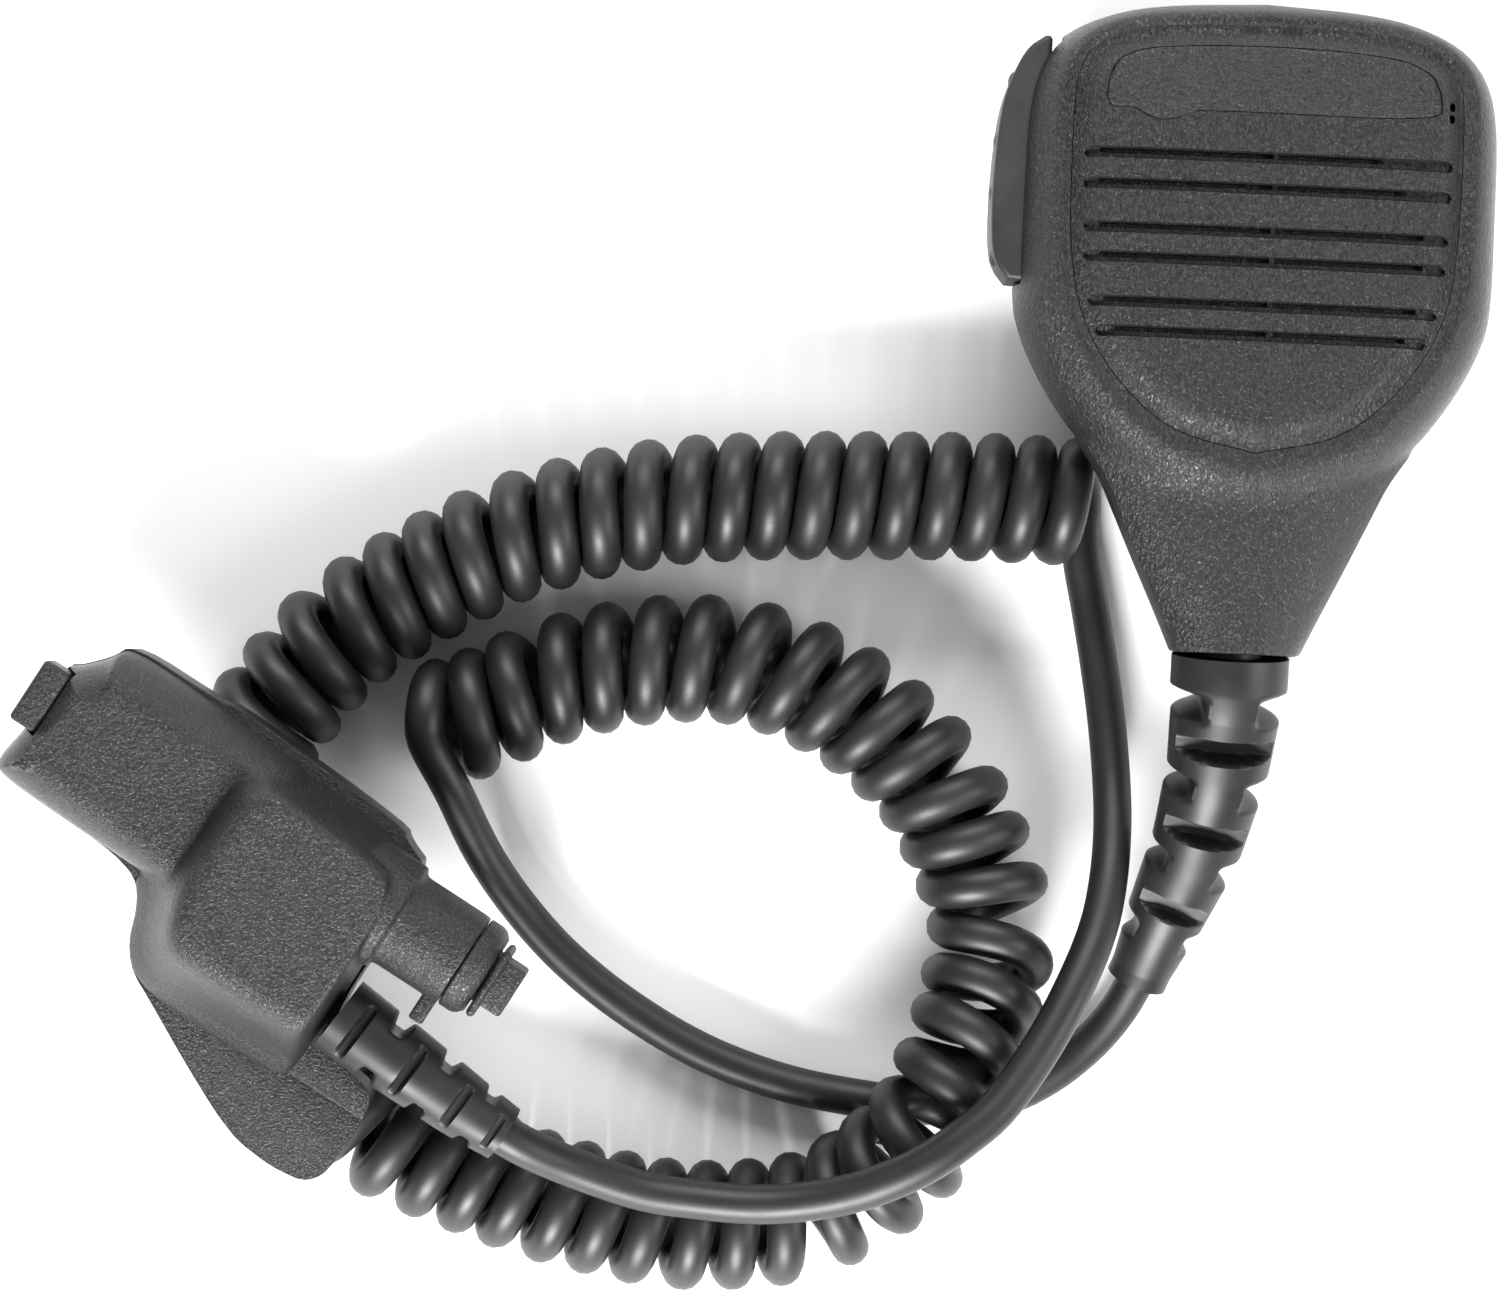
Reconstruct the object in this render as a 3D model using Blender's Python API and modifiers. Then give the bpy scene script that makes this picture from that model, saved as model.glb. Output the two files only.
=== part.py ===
"""Hand microphone with a curly cord and a side connector, lying on its belt clip.

Frame: +X to the right of the grille, +Y to the top of the head, +Z out of the grille.
The origin is on the resting face of the clip, on the clip's swivel axis.
Lengths are written in millimetres and turned into metres by MM.
"""
import math

import bmesh
import bpy
from mathutils import Matrix, Vector

MM = 0.001
GAP = 0.3                    # clearance between neighbours

# head and neck
BACK_Z = 11.0                # flat back of the rear housing
PART_Z = 21.5                # parting plane of the two housings
FRONT_RISE = 11.5            # bezel above the parting plane
CROWN = 1.4                  # extra height in the middle of the grille
WALL = 2.0
NECK_END_Y = -57.6
HEAD_CENTRE = (0.0, -5.0)
HEAD_SIDE = [(0, 26.6), (12, 25.9), (19.5, 24.5), (25.6, 21.6), (29.1, 17.3), (30.6, 11), (30.9, 0),
             (30.8, -12), (29.5, -17.6), (26.6, -23.4), (22.4, -29.3)]
NECK_SIDE = [(18.6, -34.6), (16.2, -39.6), (13.6, -45.4), (11.2, -50.6), (9.3, -54.8), (8.2, NECK_END_Y)]
HEAD_FOOT = [(17.4, -34.0), (10.2, -37.9), (0, -39.6)]
PANEL_SIDE = [(0, 22.4), (9, 22.2), (17, 21.5), (21.7, 19.5), (24.2, 15.8), (24.8, 9), (24.5, -6),
              (22.6, -15.5), (17.8, -23.4), (10.4, -29.4), (0, -32.1)]
SLOTS = [(5.1, 23.4), (1.2, 23.4), (-4.3, 23.1), (-8.05, 22.9), (-13.65, 22.1), (-17.35, 21.0)]
SLOT_WIDTH = 1.1
SLOT_RIB = 1.6
PANEL_BACK_Z = 31.2
MIC_PORT = (22.9, 12.0)
LABEL_FLOOR_Z = 32.9
SPEAKER = (0.0, -5.0)
SCREWS = [(15.5, 20.2), (-15.5, 20.2), (18.4, -26.4), (-18.4, -26.4)]
BOARD_Z = 17.2

# talk key
KEY_BACK_X = -27.4
KEY_LOW_Z = 17.2
KEY_HIGH_Z = 26.2
KEY_SIDE = [(-28.3, 20.9), (-30.4, 19.3), (-32.1, 16.2), (-33.5, 11.5), (-34.2, 3.5), (-34.2, -4.5),
            (-33.5, -8.3), (-31.8, -10.6)]
KEY_PRESS = (8.0, 21.7)      # y and z of the switch plunger

# belt clip
HINGE_Y = 11.5
HINGE_Z = 5.2
ARM_THICK = 2.6

# cord
CORD_R = 2.6
COIL_R = 8.7
MIC_BOOT = [(-0.4, -57.9, 21.5), (-0.4, -62.0, 21.0), (-0.6, -66.0, 19.8), (-0.9, -72.4, 17.6),
            (-1.5, -76.5, 15.9), (-2.7, -83.3, 13.2), (-3.9, -87.0, 11.6), (-6.2, -94.0, 8.7),
            (-7.6, -98.2, 7.1), (-8.8, -101.6, 6.0)]
MIC_TAIL = [(-9.0, -102.1, 5.8), (-11.2, -106.6, 4.3), (-15.0, -111.5, 3.1), (-20.2, -115.9, 2.7),
            (-26.1, -118.8, 2.65), (-35.6, -120.4, 2.65), (-45.1, -119.8, 2.65), (-56.0, -118.0, 2.65),
            (-67.1, -114.3, 2.65), (-77.6, -108.6, 2.65), (-86.2, -102.2, 2.8), (-92.8, -95.2, 4.0),
            (-97.5, -88.3, 6.8), (-101.4, -80.3, 10.8), (-104.7, -74.3, 13.5), (-106.6, -70.0, 14.6),
            (-107.6, -67.1, 14.8)]
COIL = [(-101.4, -70.9, 8.75), (-95.0, -68.0, 8.75), (-88.3, -64.9, 8.75), (-75.6, -61.7, 8.75),
        (-62.0, -61.7, 8.75), (-49.0, -66.8, 8.75), (-38.3, -75.5, 8.75), (-32.6, -84.4, 8.75),
        (-29.4, -92.5, 8.75), (-28.9, -98.0, 9.1), (-30.1, -105.4, 11.6), (-32.0, -111.3, 13.7),
        (-34.8, -118.6, 14.8), (-38.7, -124.4, 13.6), (-43.4, -129.5, 11.0), (-48.6, -133.2, 9.2),
        (-55.4, -135.8, 8.75), (-68.7, -136.9, 8.75), (-81.3, -135.2, 8.75), (-93.2, -132.1, 8.75),
        (-110.6, -125.5, 8.75), (-123.1, -114.7, 8.75), (-129.4, -102.9, 8.75), (-130.6, -89.5, 8.75),
        (-128.4, -76.0, 8.75), (-123.9, -68.0, 8.75), (-115.6, -58.6, 8.75), (-98.6, -47.9, 8.75),
        (-86.8, -43.4, 8.75), (-75.3, -40.6, 8.75), (-63.7, -39.3, 8.75), (-51.7, -38.6, 8.75),
        (-35.6, -38.0, 8.75), (-22.0, -38.0, 8.75)]
PLUG_TAIL = [(-18.9, -38.0, 2.65), (-18.8, -41.5, 2.65), (-18.3, -46.1, 2.65), (-17.2, -51.0, 2.7),
             (-15.6, -59.0, 3.4), (-14.3, -67.0, 4.8), (-13.5, -75.0, 7.0), (-13.4, -81.6, 10.0),
             (-14.0, -88.2, 13.2), (-15.4, -94.4, 16.2), (-18.4, -101.5, 19.8), (-22.6, -109.4, 22.6),
             (-27.9, -117.0, 24.9), (-32.2, -121.0, 25.6), (-36.7, -124.5, 25.5), (-41.6, -127.3, 24.6),
             (-46.7, -129.5, 23.1), (-53.0, -131.1, 21.5), (-59.3, -131.8, 20.6), (-66.7, -131.5, 20.4),
             (-73.9, -130.6, 20.9), (-83.2, -127.5, 23.0), (-90.6, -123.8, 25.7)]

# plug, in its own frame: u along it towards the release button, v across, z up
PLUG_PLACE = (-127.5, -92.0)
PLUG_TURN = math.radians(-30.4)
PLUG_BASE_Z = 17.9
PLUG_SPLIT_Z = 24.6
PLUG_TOP_Z = 39.5
NOSE_TOP_Z = 34.0
BARREL_R = 6.4
BARREL_V = 7.8
BARREL_Z = 31.5
PLUG_BOOT = [(20.7, -7.1, 27.6), (27.0, -7.6, 27.4), (34.0, -8.1, 27.0), (41.0, -8.6, 26.4),
             (46.8, -8.8, 25.8)]


# ---------------------------------------------------------------- scene and materials

def clear_scene():
    for old in list(bpy.data.objects):
        bpy.data.objects.remove(old, do_unlink=True)


def new_collection(name):
    collection = bpy.data.collections.new(name)
    bpy.context.scene.collection.children.link(collection)
    return collection


def plastic(name, colour, roughness, metallic=0.0):
    material = bpy.data.materials.new(name)
    material.use_nodes = True
    shader = material.node_tree.nodes["Principled BSDF"]
    shader.inputs["Base Color"].default_value = (*colour, 1.0)
    shader.inputs["Roughness"].default_value = roughness
    shader.inputs["Metallic"].default_value = metallic
    return material


clear_scene()
PARTS = new_collection("hand_microphone")
CUTTERS = new_collection("cutters")

BLACK = plastic("black_textured_plastic", (0.030, 0.031, 0.033), 0.45)
KEY_RUBBER = plastic("key_rubber", (0.022, 0.022, 0.024), 0.6)
CORD_JACKET = plastic("cord_jacket", (0.018, 0.018, 0.020), 0.38)
BOOT_RUBBER = plastic("boot_rubber", (0.020, 0.020, 0.022), 0.42)
STEEL = plastic("bright_steel", (0.62, 0.62, 0.64), 0.3, 1.0)
BRASS = plastic("gold_contacts", (0.75, 0.56, 0.25), 0.3, 1.0)
BOARD = plastic("circuit_board", (0.02, 0.16, 0.06), 0.5)
PAPER = plastic("cone_paper", (0.05, 0.05, 0.05), 0.8)
FELT = plastic("dust_felt", (0.012, 0.012, 0.012), 0.95)


# ---------------------------------------------------------------- shapes

def keep(thing, name, material, parent=None):
    """Name an object, file it with the parts and give it its material."""
    thing.name = name
    thing.data.name = name
    for collection in list(thing.users_collection):
        collection.objects.unlink(thing)
    PARTS.objects.link(thing)
    thing.data.materials.clear()
    thing.data.materials.append(material)
    thing.parent = parent
    return thing


def mesh_object(name, shape, material, parent=None):
    mesh = bpy.data.meshes.new(name)
    bmesh.ops.recalc_face_normals(shape, faces=shape.faces)
    shape.to_mesh(mesh)
    shape.free()
    mesh.shade_smooth()
    mesh.set_sharp_from_angle(angle=math.radians(35))
    return keep(bpy.data.objects.new(name, mesh), name, material, parent)


def loft(name, rings, material, parent=None, closed_loop=False):
    """Skin between unlike rings of equal length; its ends are capped unless the rings form a loop."""
    shape = bmesh.new()
    rows = [[shape.verts.new(Vector(point) * MM) for point in ring] for ring in rings]
    count = len(rings[0])
    pairs = list(zip(rows, rows[1:]))
    if closed_loop:
        pairs.append((rows[-1], rows[0]))
    for low, high in pairs:
        for i in range(count):
            j = (i + 1) % count
            shape.faces.new((low[i], low[j], high[j], high[i]))
    if not closed_loop:
        shape.faces.new(rows[0])
        shape.faces.new(rows[-1])
    return mesh_object(name, shape, material, parent)


def soften(piece, width, segments=2, angle=40):
    rounding = piece.modifiers.new("rounded edges", "BEVEL")
    rounding.width = width * MM
    rounding.segments = segments
    rounding.limit_method = "ANGLE"
    rounding.angle_limit = math.radians(angle)
    return piece


def box(name, low, high, material, parent=None, bevel=0.0):
    """A block between two corners."""
    shape = bmesh.new()
    bmesh.ops.create_cube(shape, size=1.0)
    size = Vector(high) - Vector(low)
    bmesh.ops.scale(shape, vec=size * MM, verts=shape.verts)
    piece = mesh_object(name, shape, material, parent)
    piece.location = (Vector(high) + Vector(low)) / 2 * MM
    return soften(piece, bevel) if bevel else piece


def cylinder(name, radius, depth, centre, material, axis="Z", parent=None, sides=24):
    shape = bmesh.new()
    bmesh.ops.create_cone(shape, cap_ends=True, segments=sides, radius1=radius * MM,
                          radius2=radius * MM, depth=depth * MM)
    turn = {"Z": Matrix.Identity(4), "X": Matrix.Rotation(math.pi / 2, 4, "Y"),
            "Y": Matrix.Rotation(-math.pi / 2, 4, "X")}[axis]
    bmesh.ops.transform(shape, matrix=turn, verts=shape.verts)
    piece = mesh_object(name, shape, material, parent)
    piece.location = Vector(centre) * MM
    return piece


def turned(name, profile, material, centre=(0, 0), steps=28):
    """A (radius, height) profile, from its top down its outer side, spun about a vertical axis."""
    shape = bmesh.new()
    points = [shape.verts.new((r * MM, 0, z * MM)) for r, z in profile]
    for a, b in zip(points, points[1:]):
        shape.edges.new((a, b))
    if profile[0][0] > 0:
        shape.edges.new((points[-1], points[0]))
    mesh = bpy.data.meshes.new(name)
    shape.to_mesh(mesh)
    shape.free()
    piece = keep(bpy.data.objects.new(name, mesh), name, material)
    screw = piece.modifiers.new("turned", "SCREW")
    screw.steps = steps
    screw.render_steps = steps
    screw.use_merge_vertices = True
    screw.merge_threshold = 0.00001
    piece.location = (centre[0] * MM, centre[1] * MM, 0)
    return piece


def new_curve(name, points, cyclic=False):
    curve = bpy.data.curves.new(name, "CURVE")
    spline = curve.splines.new("POLY")
    spline.points.add(len(points) - 1)
    for place, point in zip(spline.points, points):
        place.co = (*(Vector(point) * MM), 1.0)
    spline.use_cyclic_u = cyclic
    return curve


def tube(name, points, radius, material, parent=None, resolution=2):
    """A round cord or wire along a polyline, with filled ends."""
    curve = new_curve(name, points)
    curve.dimensions = "3D"
    curve.bevel_depth = radius * MM
    curve.bevel_resolution = resolution
    curve.use_fill_caps = True
    return keep(bpy.data.objects.new(name, curve), name, material, parent)


def meshed(piece):
    """The same curve as a mesh with welded caps, so that it can be cut or joined."""
    graph = bpy.context.evaluated_depsgraph_get()
    mesh = bpy.data.meshes.new_from_object(piece.evaluated_get(graph))
    shape = bmesh.new()
    shape.from_mesh(mesh)
    bmesh.ops.remove_doubles(shape, verts=shape.verts, dist=0.000005)
    name = piece.name
    material = piece.data.materials[0]
    parent = piece.parent
    place = piece.location.copy()
    bpy.data.objects.remove(piece, do_unlink=True)
    solid = mesh_object(name, shape, material, parent)
    solid.location = place
    return solid


def prism(name, outline, low, high, material, parent=None, bevel=0.0):
    """A flat outline raised from one height to another."""
    curve = new_curve(name, [(x, y, 0) for x, y in outline], cyclic=True)
    curve.dimensions = "2D"
    curve.fill_mode = "BOTH"
    curve.extrude = (high - low) / 2 * MM
    flat = keep(bpy.data.objects.new(name, curve), name, material, parent)
    flat.location.z = (high + low) / 2 * MM
    piece = meshed(flat)
    return soften(piece, bevel) if bevel else piece


def cut(piece, *cutters, operation="DIFFERENCE"):
    """Take cutters away from a piece, or join them to it."""
    for cutter in cutters:
        for collection in list(cutter.users_collection):
            collection.objects.unlink(cutter)
        CUTTERS.objects.link(cutter)
        cutter.hide_render = True
        cutter.display_type = "WIRE"
        joined = piece.modifiers.new(cutter.name, "BOOLEAN")
        joined.operation = operation
        joined.solver = "EXACT"
        joined.object = cutter
    return piece


def join(piece, *others):
    return cut(piece, *others, operation="UNION")


def through(points, spacing):
    """Points at an even spacing along the smooth curve that runs through the given ones."""
    route = [Vector(p) for p in points]
    route = [2 * route[0] - route[1], *route, 2 * route[-1] - route[-2]]
    fine = []
    for a, b, c, d in zip(route, route[1:], route[2:], route[3:]):
        for k in range(12):
            t = k / 12
            fine.append(0.5 * (2 * b + (c - a) * t + (2 * a - 5 * b + 4 * c - d) * t ** 2
                               + (3 * b - a - 3 * c + d) * t ** 3))
    fine.append(route[-2].copy())
    reach = [0.0]
    for a, b in zip(fine, fine[1:]):
        reach.append(reach[-1] + (b - a).length)
    count = max(2, round(reach[-1] / spacing))
    even = []
    i = 0
    for k in range(count + 1):
        wanted = reach[-1] * k / count
        while i < len(fine) - 2 and reach[i + 1] < wanted:
            i += 1
        share = (wanted - reach[i]) / max(reach[i + 1] - reach[i], 1e-9)
        even.append(fine[i].lerp(fine[i + 1], min(max(share, 0.0), 1.0)))
    return even


def boot(name, route, widths, material, parent=None, sides=14):
    """A strain relief: round sections of the given (distance, radius) along a bending route."""
    line = through(route, 1.0)
    length = sum((b - a).length for a, b in zip(line, line[1:]))
    rings = []
    for distance, radius in widths:
        place = min(distance / length, 1.0) * (len(line) - 1)
        i = min(int(place), len(line) - 2)
        centre = line[i].lerp(line[i + 1], place - i)
        ahead = (line[min(i + 2, len(line) - 1)] - line[max(i - 1, 0)]).normalized()
        side = ahead.cross(Vector((0, 0, 1))).normalized()
        up = side.cross(ahead)
        rings.append([centre + radius * (math.cos(a) * side + math.sin(a) * up)
                      for a in (2 * math.pi * k / sides for k in range(sides))])
    return loft(name, rings, material, parent)


# ---------------------------------------------------------------- outlines

def mirrored(half):
    """A closed outline from the points of its right side, both ends on the centre line."""
    return [*half, *[(-x, y) for x, y in reversed(half) if x > 0]]


def smooth(points, spacing=1.5):
    return [(p.x, p.y) for p in through([(x, y, 0) for x, y in points], spacing)]


def shrunk(outline, share):
    """An outline drawn in towards the head's centre."""
    cx, cy = HEAD_CENTRE
    return [(cx + (x - cx) * share, cy + (y - cy) * share) for x, y in outline]


def inset(outline, distance):
    """An outline moved inwards; its points run clockwise seen from +Z."""
    moved = []
    for i, (x, y) in enumerate(outline):
        ax, ay = outline[i - 1]
        bx, by = outline[(i + 1) % len(outline)]
        along = Vector((bx - ax, by - ay)).normalized()
        moved.append((x + along.y * distance, y - along.x * distance))
    return moved


def edge_distance(x, y, outline):
    """Distance to an outline, positive inside it."""
    nearest = 1e9
    inside = False
    for (ax, ay), (bx, by) in zip(outline, [*outline[1:], outline[0]]):
        dx, dy = bx - ax, by - ay
        t = ((x - ax) * dx + (y - ay) * dy) / max(dx * dx + dy * dy, 1e-9)
        t = min(max(t, 0.0), 1.0)
        nearest = min(nearest, math.hypot(x - ax - t * dx, y - ay - t * dy))
        if (ay > y) != (by > y) and x < ax + (y - ay) / (by - ay) * dx:
            inside = not inside
    return nearest if inside else -nearest


def ray_to(outline, angle):
    """Where a ray from the head's centre leaves an outline."""
    cx, cy = HEAD_CENTRE
    ux, uy = math.cos(angle), math.sin(angle)
    best = 0.0
    for (ax, ay), (bx, by) in zip(outline, [*outline[1:], outline[0]]):
        dx, dy = bx - ax, by - ay
        across = ux * dy - uy * dx
        if abs(across) < 1e-9:
            continue
        t = ((ax - cx) * dy - (ay - cy) * dx) / across
        s = ((ax - cx) * uy - (ay - cy) * ux) / across
        if -1e-6 <= s <= 1 + 1e-6:
            best = max(best, t)
    return cx + best * ux, cy + best * uy


HEAD_OUTLINE = mirrored(smooth([*HEAD_SIDE, *HEAD_FOOT]))
BODY_OUTLINE = mirrored([*smooth([*HEAD_SIDE, *NECK_SIDE]), (0, NECK_END_Y)])
LABEL_SIDE = [(0, 19.1), (10, 18.7), (18.4, 17.2), (20.6, 14.6), (20.9, 10.9)]
LABEL_OUTLINE = [*LABEL_SIDE, *[(-x, y) for x, y in reversed(LABEL_SIDE[1:])]]


# ---------------------------------------------------------------- surface of the head and neck

def dome(share, power):
    share = min(max(share, 0.0), 1.0)
    return math.sqrt(1 - (1 - share) ** power)


def neck_height(x, y, at_head, at_end):
    """Half an oval over the neck's width, lower towards the neck's end."""
    if y > -24:
        return -20.0
    share = min(max((y - NECK_END_Y) / 26.0, 0.0), 1.0)
    half_width = 8.2 + 13.5 * share
    inside = 1 - min(abs(x) / half_width, 1) ** 2.3
    return (at_end + (at_head - at_end) * share) * inside ** (1 / 2.3)


def blend(a, b, width):
    overlap = max(width - abs(a - b), 0) / width
    return max(a, b) + overlap * overlap * width / 4


def front_height(x, y):
    """Height of the front surface above the parting plane."""
    depth = edge_distance(x, y, HEAD_OUTLINE)
    if depth > 0:
        head = FRONT_RISE * dome(depth / 8.0, 2.4) + CROWN * dome(max(depth - 6.4, 0) / 20, 2)
    else:
        head = 3.5 * depth
    return max(blend(head, neck_height(x, y, 9.6, 7.7), 2.6), 0.8)


def back_depth(x, y):
    """Depth of the back surface below the parting plane."""
    depth = edge_distance(x, y, HEAD_OUTLINE)
    deepest = PART_Z - BACK_Z
    head = deepest * dome(depth / 7.5, 2.2) if depth > 0 else 3.5 * depth
    return min(max(blend(head, neck_height(x, y, 8.4, 7.5), 1.2), 0.8), deepest)


def head_angles():
    """Directions round the head, closer together where the neck is."""
    angles = []
    turn = -math.pi / 2
    while turn < 1.5 * math.pi - 1e-6:
        angles.append(turn)
        off_neck = abs(math.remainder(turn + math.pi / 2, 2 * math.pi))
        turn += math.radians(3.0 if off_neck < math.radians(44.9) else 7.5)
    return angles


PANEL_EDGE = mirrored(smooth(PANEL_SIDE))
PANEL_OUTLINE = [ray_to(PANEL_EDGE, turn) for turn in reversed(head_angles())]


def housing_rings(mouth, height, sign):
    """Rings of one half shell: outside from the parting plane to the mouth, inside the other way."""
    angles = head_angles()
    rim = [ray_to(BODY_OUTLINE, a) for a in angles]
    inner_body = inset(BODY_OUTLINE, WALL)
    inner_rim = [ray_to(inner_body, a) for a in angles]
    middle = [ray_to(mouth, a) for a in angles]
    rim_z = PART_Z + sign * GAP / 2

    def between(edge, step, thinner):
        ring = []
        for (ax, ay), (bx, by) in zip(edge, middle):
            x, y = ax + (bx - ax) * step, ay + (by - ay) * step
            ring.append((x, y, PART_Z + sign * max(height(x, y) - thinner, 0.8)))
        return ring

    outer = [[(x, y, rim_z) for x, y in rim]]
    outer += [between(rim, step, 0.0) for step in (0.012, 0.05, 0.12, 0.22, 0.36, 0.54, 0.75, 1.0)]
    inner = [between(inner_rim, step, WALL + 0.2) for step in (1.0, 0.6, 0.25, 0.06)]
    inner.append([(x, y, rim_z) for x, y in inner_rim])
    return outer, inner


# ---------------------------------------------------------------- housings and grille

def key_window(name):
    return box(name, (-40, -11.2, KEY_LOW_Z - GAP), (-25.7, 21.4, KEY_HIGH_Z + GAP), BLACK)


def neck_hole(name):
    hole = cylinder(name, 4.7, 8, (-0.2, -57.5, PART_Z), BLACK, "Y", sides=20)
    return join(hole, cylinder(f"{name}_room", 5.5, 3.0, (0, -54.3, PART_Z), BLACK, "Y", sides=20))


def make_front_housing():
    outer, inner = housing_rings(PANEL_OUTLINE, front_height, 1)
    shell = loft("front_housing", [*outer, *inner], BLACK, closed_loop=True)
    for i, (x, y) in enumerate(SCREWS, 1):
        join(shell, cylinder(f"front_post_{i}", 2.8, 8.4, (x, y, 26.0), BLACK, sides=12))
        cut(shell, cylinder(f"front_post_bore_{i}", 1.3, 8.0, (x, y, 25.0), BLACK, sides=12))
    cut(shell, key_window("front_key_window"), neck_hole("front_neck_hole"))


def make_rear_housing():
    outer, inner = housing_rings(shrunk(HEAD_OUTLINE, 0.66), back_depth, -1)
    tub = loft("rear_housing", [*reversed(outer), *reversed(inner)], BLACK)
    for i, (x, y) in enumerate(SCREWS, 1):
        join(tub, cylinder(f"rear_post_{i}", 2.8, 2.3, (x, y, 15.45), BLACK, sides=12))
        cut(tub, cylinder(f"rear_screw_bore_{i}", 1.3, 20, (x, y, 17.0), BLACK, sides=12),
            cylinder(f"rear_screw_seat_{i}", 2.4, 4.0, (x, y, 11.3), BLACK, sides=16))
    join(tub, cylinder("clip_boss", 4.4, 4.5, (0, 0, 14.4), BLACK, sides=20))
    cut(tub, cylinder("clip_boss_bore", 1.7, 12, (0, 0, 12.0), BLACK, sides=16))
    cut(tub, key_window("rear_key_window"), neck_hole("rear_neck_hole"))


def make_housing_screws():
    for i, (x, y) in enumerate(SCREWS, 1):
        screw = cylinder(f"housing_screw_{i}", 2.0, 1.4, (x, y, 12.3), STEEL, sides=16)
        shank = cylinder(f"housing_screw_shank_{i}", 1.0, 14.5, (x, y, 20.0), STEEL, sides=12)
        drive = box(f"housing_screw_slot_{i}", (x - 1.3, y - 0.25, 11.0), (x + 1.3, y + 0.25, 12.2), STEEL)
        cut(join(screw, shank), drive)


def crowned(name, outline, low, drop):
    """A block whose top follows the head's front surface, a little below it if asked."""
    rings = [[(x, y, low) for x, y in outline]]
    for share in (1.0, 0.94, 0.8, 0.6, 0.38, 0.15):
        rings.append([(x, y, PART_Z + front_height(x, y) - drop) for x, y in shrunk(outline, share)])
    return loft(name, rings, BLACK)


def slot_cutter(name, y, left, right):
    half = SLOT_WIDTH / 2
    ends = []
    for x, start in ((right - half, -math.pi / 2), (left + half, math.pi / 2)):
        ends += [(x + half * math.cos(start + math.pi * k / 4), y + half * math.sin(start + math.pi * k / 4))
                 for k in range(5)]
    return prism(name, ends, PANEL_BACK_Z - 2, PART_Z + 20, BLACK)


def make_grille():
    edge = inset(PANEL_OUTLINE, GAP)
    panel = crowned("grille_panel", edge, PANEL_BACK_Z, 0.0)
    for i, (y, reach) in enumerate(SLOTS, 1):
        cut(panel, slot_cutter(f"slot_{i}_left", y, -reach, -SLOT_RIB / 2),
            slot_cutter(f"slot_{i}_right", y, SLOT_RIB / 2, reach - 3.5))
    for i, shift in enumerate((0.75, -0.75), 1):
        place = (MIC_PORT[0], MIC_PORT[1] + shift, 32)
        cut(panel, cylinder(f"mic_port_{i}", 0.45, 8, place, BLACK, sides=8))
    cut(panel, prism("label_recess", inset(LABEL_OUTLINE, -GAP), LABEL_FLOOR_Z, 40, BLACK))
    label = prism("label_plate", LABEL_OUTLINE, LABEL_FLOOR_Z + GAP, 40, BLACK)
    cut(label, crowned("label_crown", edge, 25.0, 0.15), operation="INTERSECT")
    prism("speaker_felt", inset(PANEL_OUTLINE, 1.2), 30.5, 30.9, FELT)


# ---------------------------------------------------------------- speaker, microphone, board, key

def make_speaker():
    turned("speaker_gasket", [(18.8, 30.2), (18.8, 29.6), (16.9, 29.6), (16.9, 30.2)], FELT, SPEAKER)
    turned("speaker_frame", [(0, 24.9), (11, 24.9), (17, 28.3), (17, 29.3), (18.8, 29.3), (18.8, 27.9),
                             (17.8, 27.6), (11.5, 23.9), (0, 23.9)], STEEL, SPEAKER)
    turned("speaker_cone", [(0, 28.3), (4.5, 27.5), (6.5, 26.3), (15, 28.7), (16.6, 29.1), (16.6, 28.7),
                            (15.2, 28.2), (6.6, 25.7), (4.3, 26.9), (0, 27.7)], PAPER, SPEAKER)
    turned("speaker_magnet", [(0, 23.6), (10.0, 23.6), (10.5, 23.1), (10.5, 19.4), (0, 19.4)],
           STEEL, SPEAKER)


def make_microphone():
    place = (20.4, 12.0)
    turned("mic_capsule", [(0, 30.0), (3.0, 30.0), (3.0, 26.8), (0, 26.8)], STEEL, place, 20)
    turned("mic_capsule_holder", [(0, 26.5), (3.3, 26.5), (3.3, 30.2), (4.2, 30.2), (4.2, 26.0), (0, 26.0)],
           KEY_RUBBER, place, 20)


def make_board():
    board = prism("circuit_board", shrunk(HEAD_OUTLINE, 0.78)[::2], BOARD_Z, BOARD_Z + 1.2, BOARD)
    for i, (x, y, reach) in enumerate([(-16, -20, 3.5), (14, -19, 3.0), (0, 13, 2.5)], 1):
        low, high = (x - reach, y - 2.5, BOARD_Z + 1), (x + reach, y + 2.5, BOARD_Z + 2.4)
        join(board, box(f"chip_{i}", low, high, BOARD))


def make_talk_key():
    outline = [*smooth(KEY_SIDE, 2.2), (KEY_BACK_X, -10.8), (KEY_BACK_X, 21.0)]
    key = prism("ptt_button", outline, KEY_LOW_Z, KEY_HIGH_Z, KEY_RUBBER)
    join(key, box("ptt_lugs", (-27.9, -8, KEY_LOW_Z - 0.7), (KEY_BACK_X, 8, KEY_HIGH_Z + 0.8), KEY_RUBBER))
    y, z = KEY_PRESS
    cylinder("ptt_plunger", 1.2, 2.8, (KEY_BACK_X + GAP + 1.4, y, z), KEY_RUBBER, "X", sides=16)
    switch = box("ptt_switch", (-24.0, y - 4, BOARD_Z + 1.5), (-18.0, y + 4, 24.6), BLACK, bevel=0.3)
    cut(switch, cylinder("ptt_switch_bore", 1.6, 4, (-24.2, y, z), BLACK, "X", sides=16))
    seal = box("ptt_seal", (-25.6, y - 7, 14.4), (-25.0, y + 7, 28.6), KEY_RUBBER)
    cut(seal, cylinder("ptt_seal_hole", 1.5, 4, (-25.3, y, z), KEY_RUBBER, "X", sides=16))


# ---------------------------------------------------------------- belt clip

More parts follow.
